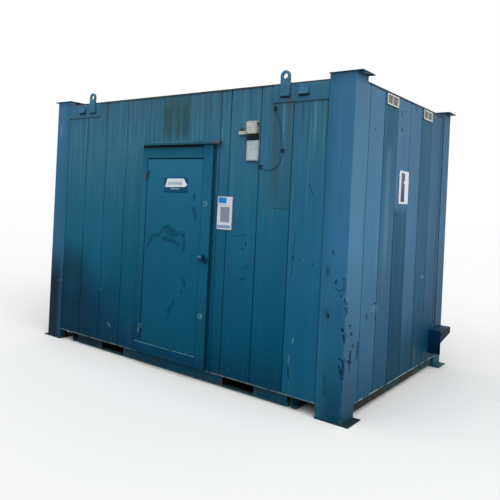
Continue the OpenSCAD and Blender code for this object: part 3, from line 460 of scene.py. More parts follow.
def makePosts():
    v = postPaint
    p = Finish("postPaint")
    towardsEnd = p.rise(abs(p.faceX), 0.45, 0.85)
    rightPost = p.rise(p.x, 1.5, 1.55) * p.fall(p.y, -0.5, -0.3)
    frontFace = rightPost * (1 - towardsEnd)
    endFace = rightPost * towardsEnd
    front = p.byHeight(v["front"])
    # the faces' inner edges keep the wall's darker green
    inner = p.fall(abs(p.x - cabin["middleX"]), 1.63, 1.73)
    front = p.blend(inner * 0.6, front, v["inner"])
    # faces towards the ends are paler: partly faded paint, partly a painted sheen of sky light
    p.colour = p.blend(towardsEnd, front, p.byHeight(v["ends"]))
    # the left front post is greener, and nearly black near the ground; the rear right one stays dark
    greener = p.fall(p.x, -1.55, -1.5) * p.fall(p.z, 1.5, 2.5) * p.fall(p.y, -0.7, -0.5)
    p.coat((30, 88, 112), greener * 0.6)
    tide = p.z + (p.streaks(14, 1.2, 4) - 0.5) * 0.3
    dim = p.fall(p.x, -1.55, -1.5) * p.fall(tide, 0.62, 1.15) * p.fall(p.y, -0.7, -0.5)
    dim = dim * (0.62 + p.fall(p.x, -1.74, -1.66) * 0.38)
    p.coat(v["lowLeft"], dim)
    rear = p.rise(p.y, 0.9, 0.95) * (0.55 + p.fall(p.z, 0.2, 1.6) * 0.3)
    p.coat((14, 62, 90), rear)
    broad = p.streaks(12, 0.45, 3, (0.3, 0.9, 0))
    fine = p.streaks(60, 0.8, 4, (1.3, 0.4, 0.2))
    p.mottle(broad, 0.05)
    p.mottle(p.noise(2.4, (1, 1, 0.8), 5, 0.6, 0.5), 0.12)
    p.coat((100, 146, 172), p.rise(fine, 0.56, 0.72) * 0.1)
    p.coat((14, 58, 82), p.fall(fine, 0.32, 0.44) * 0.12)
    # soft dirt, then chips with a pale rim along the right front post's fold
    dirt = p.fall(p.nearest(p.x, v["soft"], 0.03, 14), -0.012, 0.016)
    p.coat((2, 46, 66), dirt * frontFace * 0.45)
    gapFront = p.nearest(p.x, v["frontKnocks"], 0.022, 30)
    gapEnd = p.nearest(p.y, v["endKnocks"], 0.022, 26)
    chips = p.most(p.fall(gapFront, -0.001, 0.005) * frontFace, p.fall(gapEnd, -0.001, 0.008) * endFace)
    rims = p.most(p.band(gapFront, 0.004, 0.007, 0.002) * frontFace, p.band(gapEnd, 0.006, 0.01, 0.002) * endFace)
    p.coat(v["rim"], rims * p.spots(0.45, 0.6, 22) * 0.25)
    # the higher marks are only rubbed, the lower ones go down to the dark coat
    p.coat(p.byHeight(v["chipFade"]), chips * 0.9)
    hole = p.fall(p.nearest(p.x, v["frontHole"], 0.006), -0.002, 0.003)
    p.coat((30, 22, 14), hole * frontFace * 0.9)
    # sparse specks on all four posts, a pale rub on the left one
    specks = p.number("TexVoronoi", {"Vector": p.turned((1, 1, 1), (0.5, 0.2, 0.1)), "Scale": 7})
    p.coat(v["chip"], p.fall(specks, 0.03, 0.05) * p.spots(0.5, 0.6, 2.3) * 0.6)
    atFront = p.fall(p.y, -1, -0.9)
    rub = p.fall(p.nearest(p.x, [(-1784, 2428, -1779, 2305, 4)], 0.006), -0.001, 0.005)
    p.coat((122, 160, 176), rub * atFront * 0.6)
    rustMark = p.fall(p.nearest(p.x, [(-1720, 655, -1655, 657, 5)], 0.01), -0.002, 0.005)
    p.coat((96, 72, 48), rustMark * atFront * 0.75)
    grain = p.noise(60, detail=4)
    foot = p.fall(p.z, 0.03, 0.22) * p.spots(0.42, 0.66, 14, (1, 1, 0.5), 5, 0.65)
    p.coat((22, 54, 62), foot * 0.5)
    fold = p.rise(p.x - p.y, 2.965, 2.985) * rightPost
    rustFoot = p.fall(p.z, 0.02, 0.18) * p.spots(0.52, 0.64, 26, (1, 1, 0.6), 5, 0.65) * (0.06 + fold)
    p.coat(v["rust"], rustFoot * 0.8)
    # foot plates hold mud, cap plates hold weather
    plate = p.fall(p.z, 0.009, 0.012)
    p.coat((30, 42, 44), plate * 0.85)
    cap = p.rise(p.z, 2.69, 2.694)
    p.coat((14, 36, 52), cap * 0.9)
    capWear = cap * p.spots(0.55, 0.68, 18, detail=5)
    p.coat((64, 70, 68), capWear * 0.5)
    # a pale patch painted on the right front cap's underside: a painted glint of sky light
    under = p.patch(p.y, -1.13, -1.04, 0.012, 2.6, 2.8, 0.01) * p.rise(p.x, 1.81, 1.815)
    p.coat((150, 170, 178), p.fall(p.faceZ, -0.8, -0.4) * under * 0.7)
    # painted shade on the band under the caps, bare green shows on the rear feet
    shade = p.rise(p.z, 2.6, 2.69) * (1 - cap)
    p.coat((10, 48, 72), shade * 0.38)
    rearFoot = p.fall(p.z, 0.16, 0.24) * p.rise(p.y, 0.9, 0.96) * p.spots(0.25, 0.45, 6)
    p.coat((2, 74, 76), rearFoot * 0.85)
    rough = 0.4 + broad * 0.12 + grain * 0.1 + chips * 0.2
    relief = p.noise(3, (1, 1, 0.6), 2) + p.noise(180, detail=2) * 0.03
    return p.finish(rough, height=relief, bump=0.35, depth=0.004, specular=paintGloss["post"])


dress("corner_post", makePosts())
print("posts painted")

basePaint = {
    "front": [(0, (0, 52, 74)), (0.11, (4, 66, 88))],
    "end": (28, 26, 25), "teal": (2, 66, 70), "dirt": (44, 44, 40), "dark": (2, 12, 24),
    "flange": (52, 74, 80), "rim": (62, 92, 98),
    "pocketX": (-0.7975, 0.8165), "pocketHalf": 0.1692, "pocketLow": 0.0135, "pocketHigh": 0.1043,
}


def makeBase():
    v = basePaint
    p = Finish("basePaint")
    p.colour = p.byHeight(v["front"], 0.2)
    blotch = p.noise(5, (1, 1, 2), 5, 0.65, 0.6)
    # the end rails have lost most of their paint, patches of the old green show
    ends = p.rise(abs(p.x - cabin["middleX"]), 1.72, 1.75)
    old = p.spots(0.46, 0.58, 4.2, (1, 1, 1.5), 5, 0.65, shift=(1, 0.3, 0)) * p.rise(p.y, -0.6, 0.3)
    p.coat(v["end"], ends)
    p.coat(v["teal"], ends * old * 0.9)
    # the front rail is painted nearly black towards its left end, as shade
    wave = p.x + blotch * 0.3
    p.coat(v["dark"], p.fall(wave, -1.02, -0.68) * (1 - ends) * 0.78)
    p.mottle(blotch, 0.3)
    streak = p.streaks(24, 3, 4)
    p.coat((36, 84, 92), p.rise(streak, 0.54, 0.7) * 0.35)
    dirt = p.spots(0.47, 0.62, 11, (1, 1, 1.5), 5, 0.7) * p.fall(p.z, 0.03, 0.12)
    p.coat(v["dirt"], dirt * 0.7)
    rust = p.spots(0.62, 0.7, 19, detail=5, shift=(0, 2, 0))
    p.coat((84, 60, 44), rust * 0.5)
    # edges rubbed pale along the bottom and round the pockets' mouths, a painted shadow along the top under the
    # wall's lip
    half, gaps = v["pocketHalf"], [abs(p.x - x) for x in v["pocketX"]]
    rim = p.most(*[p.band(gap, half, half + 0.0058, 0.0006) for gap in gaps], p.fall(p.z, 0.015, 0.016))
    rim = rim * p.spots(0.3, 0.48, 13, detail=4) * (1 - ends)
    p.coat(v["rim"], rim * p.fall(p.y, -1.08, -1.06) * 0.75)
    p.coat((4, 20, 28), p.rise(p.z, 0.094, 0.104) * 0.75)
    # fork pockets are painted black inside as shade, mud lies on the lower flange at each mouth
    within = p.most(*[p.fall(gap, half, half + 0.0006) for gap in gaps])
    within = within * p.band(p.z, v["pocketLow"], v["pocketHigh"], 0.0003)
    p.coat((9, 11, 14), within)
    mouth = within * p.fall(p.z, 0.015, 0.0155) * p.fall(p.y, -1.12, -1.06)
    p.coat(v["flange"], mouth * 0.8)
    return p.finish(0.55 + blotch * 0.2, height=blotch + dirt * 0.3, bump=0.4, depth=0.002, specular=0.1)


dress(("base_rail", "fork_pocket", "cross_joists"), makeBase())
print("base frame painted")

doorPaint = {
    "leaf": [(0.25, (0, 68, 94)), (0.65, (2, 77, 107)), (1.45, (20, 89, 118)), (2, (36, 100, 130))],
    "plate": [(0.18, (0, 54, 80)), (0.3, (0, 68, 92)), (0.9, (12, 80, 108)), (1.7, (26, 92, 123)),
              (2.02, (26, 90, 118)), (2.15, (14, 74, 98))],
    "frame": [(0.12, (0, 52, 78)), (0.6, (8, 68, 94)), (1.8, (32, 96, 128)), (2.15, (20, 82, 106))],
    "scuff": (0, 48, 72), "inside": (176, 182, 180), "gap": (2, 26, 40), "sill": (92, 150, 166),
    "smears": [(-294, 1178, -240, 1269, 10), (-240, 1269, -150, 1300, 10), (-88, 1365, -16, 1382, 8),
               (-16, 1382, 77, 1312, 10), (-81, 1264, 16, 1260, 8), (16, 1260, 102, 1217, 9),
               (92, 1325, 162, 1331, 7), (162, 1331, 182, 1180, 8), (-5, 1341, 54, 1304, 6),
               (78, 668, 35, 597, 10), (35, 597, 0, 507, 10), (188, 913, 206, 869, 12),
               (268, 1708, 274, 1662, 8), (277, 1564, 305, 1474, 9), (163, 795, 168, 788, 8),
               (-150, 1300, -100, 1352, 5), (-60, 1335, 10, 1300, 5), (10, 1300, 70, 1245, 6)],
    "plateEdge": 0.3745, "lockX": 0.4135,
}


def makeDoorPaint():
    v = doorPaint
    p = Finish("doorPaint")
    plate = p.rise(p.x, 0.3738, 0.3744) * p.fall(p.y, -1.2084, -1.208)
    p.colour = p.blend(plate, p.byHeight(v["leaf"]), p.byHeight(v["plate"]))
    cloud = p.noise(2.4, (1, 1, 0.8), 4, 0.6, 0.8)
    p.mottle(cloud, 0.12)
    fine = p.streaks(40, 1.4, 4)
    p.mottle(fine, 0.06)
    # smears of old handling
    gap = p.nearest(p.x, v["smears"], 0.075, 15)
    outside = p.fall(p.y, -1.204, -1.203)
    scuff = p.fall(gap, -0.01, 0.026) * outside * (0.5 + p.spots(0.4, 0.6, 34, detail=4) * 0.5)
    p.coat(v["scuff"], scuff * 0.8)
    loose = p.spots(0.62, 0.7, 6, (1, 1, 0.7), 5, 0.7, 1.5, (4, 0, 2)) * p.fall(p.z, 1.5, 1.9)
    p.coat(v["scuff"], loose * 0.35)
    kick = p.fall(p.z, 0.22, 0.5) * p.spots(0.5, 0.68, 12, detail=5, rough=0.65)
    p.coat((24, 68, 84), kick * 0.4)
    # the sign's backing shows round it
    backing = p.patch(p.x, -0.108, 0.192, 0.002, 1.709, 1.855, 0.002) * outside
    p.coat((0, 54, 80), backing * 0.7)
    # a dark line painted in the crease beside the plate, shade and dirt together, and a painted shadow of the knob
    # below and to its right
    crease = p.band(p.x, 0.3655, v["plateEdge"], 0.001) * (1 - plate) * outside
    p.coat(v["gap"], crease * 0.85)
    p.coat(v["inside"], p.rise(p.y, -1.1705, -1.1695))
    knobShadow = plate * p.fall(p.nearest(p.x, [(424, 1122, 450, 1104, 24)], 0.006), -0.004, 0.012)
    p.coat((0, 34, 54), knobShadow * 0.85)
    # painted shade on the plate's side faces that face away from the hinges
    sides = plate * p.rise(p.faceX, 0.4, 0.8)
    p.coat((0, 58, 84), sides * 0.8)
    grain = p.noise(70, detail=4)
    rough = 0.34 + scuff * 0.22 + grain * 0.08 + cloud * 0.08
    relief = p.noise(2, (1, 1, 0.7), 2) + grain * 0.04 - scuff * 0.05
    return p.finish(rough, height=relief, bump=0.3, depth=0.005, specular=paintGloss["door"])


def makeFramePaint():
    v = doorPaint
    p = Finish("doorFramePaint")
    p.colour = p.byHeight(v["frame"])
    streak = p.streaks(30, 1.2, 4)
    p.mottle(streak, 0.12)
    p.mottle(p.noise(3, (1, 1, 0.8), 4, 0.6, 0.6), 0.14)
    # the drip channel keeps the wall's paint, with a painted highlight along its top edge, and is rusty at its
    # right end
    channel = p.rise(p.z, 2.1645, 2.1655)
    p.coat(p.vary((35, 83, 101), streak, 0.2), channel)
    edge = p.rise(p.z, 2.184, 2.188) * p.spots(0.34, 0.52, 24, (0.4, 1, 1), 4)
    p.coat((96, 136, 146), edge * 0.6)
    end = channel * p.rise(p.x, 0.45, 0.54) * p.spots(0.35, 0.55, 40, detail=4)
    p.coat((98, 84, 70), end * 0.8)
    # painted shadow on the head below the channel
    under = (p.rise(p.z, 2.09, 2.15) * 0.4 + p.rise(p.z, 2.132, 2.142) * 0.6) * (1 - channel)
    p.coat((0, 16, 24), under * 0.95)
    # a pale line on the sill's edge under the leaf: a painted highlight, broken up by spots
    sill = p.band(p.z, 0.2215, 0.227, 0.001) * p.spots(0.32, 0.46, 9, detail=4) * p.fall(p.y, -1.205, -1.2)
    p.coat(v["sill"], sill * 0.85)
    low = p.fall(p.z, 0.11, 0.2) * p.spots(0.45, 0.65, 13, detail=5, rough=0.65)
    p.coat((26, 58, 64), low * 0.5)
    edgeWear = p.spots(0.64, 0.7, 34, (1, 1, 0.5), 5, 0.65) * p.fall(p.z, 0.6, 1.2)
    p.coat((60, 62, 58), edgeWear * 0.6)
    # painted shade in the reveal round the leaf, and on the jamb's outer side
    reveal = p.rise(p.y, -1.213, -1.2115) * (1 - channel) * p.fall(p.y, -1.17, -1.12)
    p.coat((0, 34, 50), reveal * p.fall(p.x, 0.44, 0.46) * 0.55)
    outer = p.rise(p.faceX, 0.5, 0.8) * p.rise(p.x, 0.44, 0.45) * (1 - channel)
    p.coat((0, 46, 68), outer * 0.85)
    return p.finish(0.42 + streak * 0.16, height=p.noise(60, detail=3), bump=0.12, depth=0.0015,
            specular=paintGloss["frame"])


dress(("door_leaf", "lock_cover_plate"), makeDoorPaint())
dress(("door_head", "door_jamb", "door_threshold", "drip_channel"), makeFramePaint())
print("door painted")


liftingPaint = {
    "fade": [(2.45, (44, 94, 121)), (2.6, (50, 98, 125)), (2.66, (58, 107, 137)), (2.76, (62, 110, 140))],
    "lugX": 1.213, "lugHalf": 0.046, "cowlX": 1.385, "eyeZ": 2.71,
}


def makeLiftingPaint():
    v = liftingPaint
    p = Finish("liftingPaint")
    p.colour = p.byHeight(v["fade"])
    streak = p.streaks(34, 2.4, 4)
    p.mottle(streak, 0.14)
    p.mottle(p.noise(6, detail=4), 0.14)
    fromMiddle = abs(p.x - cabin["middleX"])
    # a dark line painted along the plates' bottom edge as shadow, brown under the lugs
    ragged = p.z + (p.noise(26, (1, 1, 0.6), 4) - 0.5) * 0.012
    edge = p.fall(ragged, 2.496, 2.503)
    p.coat((38, 58, 62), edge * 0.8)
    brown = p.fall(ragged, 2.53, 2.56) * p.fall(abs(p.x - 1.232), 0.01, 0.03) * p.spots(0.36, 0.52, 30)
    p.coat((70, 70, 70), brown * 0.6)
    onPlate = p.rise(p.y, cabin["plateFace"] - 0.0015, cabin["plateFace"] - 0.0005)
    half, fromLug = v["lugHalf"], abs(fromMiddle - v["lugX"])
    # painted shadow on the plates just under each lug and each cowl
    foot = p.band(ragged, 2.528, 2.549, 0.004) * p.fall(fromLug, half, half + 0.008)
    cowl = p.band(ragged, 2.532, 2.553, 0.004) * p.fall(abs(fromMiddle - v["cowlX"]), 0.046, 0.056)
    p.coat((10, 34, 42), p.most(foot, cowl) * onPlate * 0.8)
    # painted shade in the corners beside the lugs, along the weld seams
    beside = p.band(fromLug, half, half + 0.007, 0.002) * onPlate * p.rise(p.z, 2.54, 2.55)
    p.coat((16, 44, 52), beside * 0.55)
    # painted shade on the side faces of the plates and lugs
    sides = p.rise(abs(p.faceX), 0.5, 0.8) * p.fall(p.y, -1.1865, -1.186)
    p.coat((12, 46, 62), sides * 0.5)
    wear = p.spots(0.63, 0.7, 38, detail=5, rough=0.65, shift=(0.5, 0, 0))
    p.coat((84, 72, 60), wear * 0.5)
    # bare steel where shackles ride in the eyes
    fromEye = p.add("CombineXYZ", {0: fromMiddle - v["lugX"], 2: p.z - v["eyeZ"]}).outputs[0]
    reach = p.number("VectorMath", {0: fromEye}, 1, operation="LENGTH")
    rim = p.fall(reach, 0.0215, 0.029) * p.spots(0.35, 0.55, 50, detail=4)
    p.coat((88, 80, 72), rim * 0.7)
    return p.finish(0.42 + streak * 0.2, height=p.noise(70, detail=4) + wear * 0.6, bump=0.2, depth=0.0015,
            specular=paintGloss["post"])


dress(("header_plates", "lifting_lug"), makeLiftingPaint())


def makeRoofSheet():
    p = Finish("roofSheet")
    p.colour = p.byHeight([(2.64, (38, 56, 66)), (2.7, (74, 88, 92))])
    blotch = p.noise(1.4, detail=6, rough=0.65, bend=0.8)
    p.mottle(blotch, 0.3)
    moss = p.spots(0.52, 0.62, 3.4, detail=6, rough=0.7, shift=(2, 0, 0))
    p.coat((66, 74, 52), moss * 0.55)
    runs = p.noise(1, (30, 1.2, 1.2), 4)
    p.mottle(runs, 0.14)
    edge = p.fall(p.z, 2.652, 2.656) * p.spots(0.4, 0.6, 16, detail=5)
    p.coat((48, 42, 40), edge * 0.6)
    p.coat(wallPaint["lining"], p.fall(p.z, 2.58, 2.6))
    return p.finish(0.5 + blotch * 0.25, height=blotch + moss * 0.3, bump=0.3, depth=0.004, specular=0.2)


def makeFloorBoard():
    p = Finish("floorBoard")
    grain = p.noise(1, (3, 60, 60), 5, 0.6, 0.4)
    p.colour = p.blend(grain, (96, 74, 50), (148, 120, 88))
    joint = p.fall(abs(p.calc("FRACT", p.x / 0.61) - 0.5), 0.003, 0.006)
    p.coat((40, 32, 24), joint)
    scuff = p.spots(0.5, 0.66, 4, detail=6, rough=0.7)
    p.coat((70, 64, 56), scuff * 0.5)
    return p.finish(0.5 + grain * 0.2, height=grain - joint, bump=0.25, depth=0.001)


dress("roof_panel", makeRoofSheet())
dress("floor_deck", makeFloorBoard())
print("roof and floor dressed")


# a moulded or turned fitting: base colour, dirt gathered by noise, light scratches
def fittingBase(name, base, dirt, amount, scale=22):
    p = Finish(name)
    soil = p.spots(0.42, 0.68, scale, (1, 1, 0.5), 5, 0.65)
    p.colour = p.blend(soil * amount, base, dirt)
    p.mottle(p.noise(scale * 0.3, detail=3), 0.1)
    return p, soil


def fittingEnd(p, soil, rough, metallic=0, scale=22, specular=0.25):
    scratches = p.noise(scale * 7, (1, 1, 0.3), 3)
    return p.finish(rough + soil * 0.2 + scratches * 0.1, metallic, scratches, 0.1, 0.0006, specular)


fittingValues = {
    "lockX": 0.4135, "lockUp": (0.6, 1.62), "lockFace": -1.2216, "knobGleam": (0.408, -1.276, 1.148),
    "sensorX": 0.7615, "sensorCell": 0.0145,
    "lampMiddle": (0.8855, 2.296), "lampHalf": 0.055, "boxMiddle": (0.8895, 2.1), "boxHalf": (0.06, 0.089),
}


def makeHingeSteel():
    p, soil = fittingBase("hingeSteel", (44, 84, 102), (24, 56, 72), 0.7)
    p.coat((10, 40, 54), p.rise(p.z, 1.2, 1.3) * 0.5)
    rust = p.rise(p.z, 1.2, 1.3) * p.fall(p.x, -0.352, -0.335) * p.spots(0.34, 0.5, 60, detail=4)
    p.coat((98, 74, 58), rust * 0.85)
    return fittingEnd(p, soil, 0.38)


def makeLockMetal():
    v = fittingValues
    p, soil = fittingBase("lockMetal", (60, 120, 140), (30, 82, 104), 0.5, 30)
    # each lock: a pale rim, a dark ring inside it, a broken pale ring, and a dark core with a key slot
    reach = p.least(*[p.reach((v["lockX"], v["lockFace"], height)) for height in v["lockUp"]])
    p.coat((4, 66, 90), p.fall(reach, 0.0125, 0.0145) * 0.8)
    slot = p.fall(abs(p.x - v["lockX"]), 0.0015, 0.0025) * p.fall(reach, 0.008, 0.009)
    p.coat((2, 20, 30), p.most(p.fall(reach, 0.0035, 0.005), slot) * 0.8)
    arc = p.band(reach, 0.0075, 0.0105, 0.001) * p.spots(0.42, 0.55, 60)
    p.coat((120, 160, 170), arc * 0.5)
    return fittingEnd(p, soil, 0.3, 0.2, 30)


def makeKnobMetal():
    p, soil = fittingBase("knobMetal", (8, 70, 98), (0, 48, 72), 0.5, 16)
    gleam = p.fall(p.reach(fittingValues["knobGleam"]), 0.01, 0.02)
    p.coat((70, 122, 142), gleam * 0.45)
    # painted shade on the knob's lower part and on its back towards the plate
    p.coat((0, 26, 42), p.most(p.fall(p.z, 1.112, 1.13), p.rise(p.y, -1.258, -1.25)) * 0.75)
    return fittingEnd(p, soil, 0.28, 0.2, 16)


def makeLampPlastic():
    v = fittingValues
    p, soil = fittingBase("lampPlastic", (178, 179, 172), (132, 130, 118), 0.6, 18)
    lamp = p.rise(p.x, 0.829, 0.83)
    # the lid's rim is a dark line with a pale one inside it
    across, up = v["lampMiddle"]
    inset = v["lampHalf"] - p.most(abs(p.x - across), abs(p.z - up))
    face = lamp * p.rise(abs(p.faceY), 0.5, 0.8)
    p.coat((70, 76, 78), face * p.band(inset, 0.01, 0.014, 0.001) * 0.6)
    p.coat((216, 216, 212), face * p.band(inset, 0.015, 0.02, 0.002) * 0.4)
    badge = face * p.band(p.x, 0.848, 0.9, 0.001) * p.band(abs(p.z - 2.281), 0.01, 0.0135, 0.0008)
    p.coat((96, 102, 102), badge * 0.5)
    # the side away from the door is painted dark as shade, with grime spots in it
    side = lamp * p.rise(p.faceX, 0.4, 0.8) * (0.35 + p.spots(0.4, 0.52, 40, (1, 1, 1.5)) * 0.6)
    p.coat((34, 44, 50), side)
    # painted shade on the lamp's underside
    beneath = lamp * p.fall(p.faceZ, -0.8, -0.4)
    p.coat((30, 42, 48), beneath * 0.7)
    # the light sensor's cell is black, its arm pale
    cell = p.fall(abs(p.x - v["sensorX"]), v["sensorCell"], v["sensorCell"] + 0.002) * p.rise(p.z, 2.269, 2.271)
    p.coat((16, 20, 24), cell * 0.95)
    return fittingEnd(p, soil, 0.45, 0, 18)


def makeBoxPlastic():
    v = fittingValues
    p, soil = fittingBase("boxPlastic", (176, 187, 193), (140, 150, 152), 0.5, 26)
    (across, up), (halfX, halfZ) = v["boxMiddle"], v["boxHalf"]
    inset = p.least(halfX - abs(p.x - across), halfZ - abs(p.z - up))
    face = p.rise(abs(p.faceY), 0.5, 0.8)
    p.coat((86, 100, 108), face * p.band(inset, 0.012, 0.0155, 0.001) * 0.65)
    p.coat((96, 110, 116), face * p.fall(inset, 0.003, 0.005) * 0.6)
    spot = face * p.fall(p.nearest(p.x, [(846, 2160, 856, 2150, 8)], 0.006), -0.002, 0.006)
    p.coat((176, 168, 120), spot * 0.7)
    specks = face * p.rise(inset, 0.018, 0.02) * p.spots(0.54, 0.62, 150, (1, 1, 1.4), 2)
    p.coat((104, 118, 124), specks * 0.55)
    # painted shade along the box's bottom edge and on its side away from the door
    dark = p.most(p.fall(p.z, 2.012, 2.02), p.rise(p.faceX, 0.5, 0.8))
    p.coat((60, 76, 84), dark * 0.55)
    return fittingEnd(p, soil, 0.42, 0, 26)


def makePlain(name, base, dirt, amount, rough, scale=22):
    p, soil = fittingBase(name, base, dirt, amount, scale)
    return fittingEnd(p, soil, rough, 0, scale, 0.12)


dress("hinge_", makeHingeSteel())
dress("lock_escutcheons", makeLockMetal())
dress("door_knob", makeKnobMetal())
dress(("lamp_housing", "lamp_sensor"), makeLampPlastic())
dress("junction_box", makeBoxPlastic())
dress("lamp_bracket", makePlain("bracketPaint", (14, 22, 28), (34, 50, 56), 0.6, 0.5))
dress("cable_clips", makePlain("clipPlastic", (14, 26, 34), (40, 58, 64), 0.5, 0.5))
dress("lamp_cable", makePlain("cableSheath", (34, 92, 116), (22, 58, 74), 0.8, 0.5, 9))


def makeVentPlastic():
    p = Finish("ventBody")
    # painted shade: the slots are dark behind the face
    deep = p.fall(abs(p.x - cabin["middleX"]), 1.829, 1.8335)
    soil = p.spots(0.42, 0.7, 24, (1, 1, 0.5), 5, 0.65)
    p.colour = p.blend(soil * 0.45, (208, 207, 202), (150, 150, 140))
    p.coat((20, 22, 24), deep * 0.9)
    return p.finish(0.45 + soil * 0.25, height=p.noise(160), bump=0.1, depth=0.0006, specular=0.2)


dress("vents_", makeVentPlastic())


def makeHoodPaint():
    p = Finish("hoodPaint")
    # each face coloured by which way it faces: the top painted lighter and the outer sloping face darker, as
    # painted light and shade
    top = p.rise(p.faceZ, 0.35, 0.75)
    out = p.rise(p.faceX, 0.4, 0.8) * (1 - top)
    p.colour = p.blend(out, p.byHeight([(0.185, (0, 26, 48)), (0.42, (0, 44, 70))], 0.6), (0, 15, 38))
    p.coat((0, 52, 74), top)
    blotch = p.noise(9, detail=5, rough=0.65)
    p.mottle(blotch, 0.3)
    dirt = top * p.spots(0.54, 0.66, 16, detail=5, rough=0.65)
    p.coat((34, 54, 56), dirt * 0.4)
    # pale on the upward-sloping faces: a painted highlight mixed with wear spots, and chips
    wear = p.band(p.faceZ, 0.15, 0.55, 0.1) * p.spots(0.34, 0.5, 20, detail=4)
    chips = p.spots(0.62, 0.69, 30, detail=5, rough=0.65)
    p.coat((84, 110, 116), p.most(wear, chips * 0.7) * 0.6)
    return p.finish(0.42 + blotch * 0.2, height=blotch, bump=0.2, depth=0.002, specular=0.05)


dress("service_hood", makeHoodPaint())
print("fittings dressed")


# new pieces
def makePiece(name, points, faces, material, body, smooth=False):
    mesh = bpy.data.meshes.new(name)
    mesh.from_pydata(points.reshape(-1, 3).tolist(), [], faces)
    mesh.materials.append(material)
    mesh.polygons.foreach_set("use_smooth", np.full(len(mesh.polygons), smooth))
    mesh.validate()
    mesh.update()
    piece = bpy.data.objects.new(name, mesh)
    bpy.context.scene.collection.objects.link(piece)
    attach(piece, body)
    return piece


# faces of a grid of rings: rings follow each other, points go round each ring, both ends closed
def closedFaces(count, around, start=0):
    ring, step = np.meshgrid(np.arange(count - 1), np.arange(around), indexing="ij")
    a = ring * around + step
    b = ring * around + (step + 1) % around
    faces = (np.stack([a, b, b + around, a + around], -1).reshape(-1, 4) + start).tolist()
    faces.append([start + i for i in range(around)][::-1])
    faces.append([start + (count - 1) * around + i for i in range(around)])
    return faces


# a plate with an eased edge: S(u, v) = the outline at u, drawn in by inset(v), lifted by height(v)
def plateRings(outline, thick, ease):
    outline = np.asarray(outline, float)
    middle = outline.mean(0)
    away = outline - middle
    size = np.linalg.norm(away, axis=1, keepdims=True)
    rows = [(0, 0), (0, thick - ease), (0.3 * ease, thick - 0.3 * ease), (ease, thick)]
    return np.stack([np.column_stack([middle + away * (1 - inset / size), np.full(len(outline), height)])
                     for inset, height in rows])


# places a flat shape on the door side: (across, up, out) becomes (x, -out from the plane, z)
def onFront(points, plane):
    return np.stack([points[..., 0], plane - points[..., 2], points[..., 1]], -1)


def onEnd(points, plane):
    return np.stack([plane + points[..., 2], points[..., 0], points[..., 1]], -1)


# a rectangle with round corners: corner c at angle t is centre(c) + radius (cos t, sin t)
def cornered(low, high, radius, steps=4):
    low, high = np.array(low) + radius, np.array(high) - radius
    turn = (np.linspace(0, np.pi / 2, steps + 1) + np.arange(4)[:, None] * np.pi / 2).ravel()
    centres = np.array([high, (low[0], high[1]), low, (high[0], low[1])]).repeat(steps + 1, axis=0)
    return centres + radius * np.column_stack([np.cos(turn), np.sin(turn)])


signValues = {
    "thick": 0.003, "ease": 0.0008, "white": (212, 218, 230), "soil": (120, 128, 124),
    "doorTab": [(-0.094, 1.762), (0.16, 1.768), (0.186, 1.789), (0.16, 1.812), (0.14, 1.846), (-0.066, 1.844)],
    "doorStrip": [(-0.099, 1.717), (0.177, 1.723), (0.181, 1.7672), (-0.0945, 1.7612)],
    "notice": ((0.528, 1.397), (0.704, 1.702)), "endSign": ((-0.194, 1.697), (0.05, 2.01)), "radius": 0.006,
    "scrape": [(-62, 1900, 20, 1892, 14)],
}
# plain blocks of ink: across from, to and softness, up from, to and softness, colour, cover, unevenness
signInk = {
    "door": [(-0.058, 0.125, 0.004, 1.784, 1.814, 0.003, (92, 106, 132), 0.434, 0.124)],
    "strip": [(-0.026, 0.085, 0.008, 1.743, 1.755, 0.003, (150, 182, 204), 0.49, 0.14)],
    "notice": [(0.568, 0.67, 0.003, 1.468, 1.604, 0.003, (58, 70, 88), 0.62, 0.16),
               (0.544, 0.634, 0.002, 1.618, 1.626, 0.001, (96, 108, 124), 0.35, 0),
               (0.542, 0.632, 0.002, 1.636, 1.688, 0.002, (18, 126, 200), 1, 0),
               (0.538, 0.684, 0.002, 1.414, 1.442, 0.002, (8, 96, 170), 0.6, 0.2)],
    "end": [(-0.142, -0.05, 0.004, 1.722, 1.984, 0.004, (8, 26, 46), 0.74, 0.36)],
}
inkGrain = {"door": (8, (1, 1, 1), 1), "strip": (8, (1, 1, 1), 1), "notice": (7, (1, 1, 1), 1),
            "end": (9, (1, 1, 0.6), 2)}


# a printed sheet softened by sun and rain
def makeSignFace(name, layout, paper=signValues["white"], dirt=0.15):
    p = Finish(name)
    across = p.y if layout == "end" else p.x
    p.colour = paper
    if layout == "strip":
        p.mottle(p.noise(30), 0.15)
    grain = p.noise(*inkGrain[layout])
    for *place, ink, cover, change in signInk[layout]:
        p.coat(ink, p.patch(across, *place) * (grain * change + cover))
    if layout == "notice":
        p.coat((14, 34, 46), (1 - p.patch(across, 0.535, 0.696, 0.001, 1.4045, 1.6945, 0.001)) * 0.85)
    if layout == "end":
        scrape = p.fall(p.nearest(across, signValues["scrape"], 0.02, 26), -0.002, 0.004)
        p.coat((214, 218, 226), scrape * 0.9)
        rim = 1 - p.patch(across, -0.186, 0.042, 0.002, 1.706, 2.001, 0.002)
        p.coat((26, 52, 70), rim * p.spots(0.25, 0.45, 20) * 0.9)
    soil = p.spots(0.46, 0.7, 12, (1, 1, 0.6), 5, 0.65)
    p.coat(signValues["soil"], soil * dirt)
    return p.finish(0.34 + soil * 0.25, height=p.noise(120), bump=0.06, depth=0.0005, specular=0.08)


def flatSign(name, outline, plane, place, material, body, thick=signValues["thick"]):
    rings = place(plateRings(outline, thick, signValues["ease"]), plane)
    return makePiece(name, rings, closedFaces(*rings.shape[:2]), material, body)


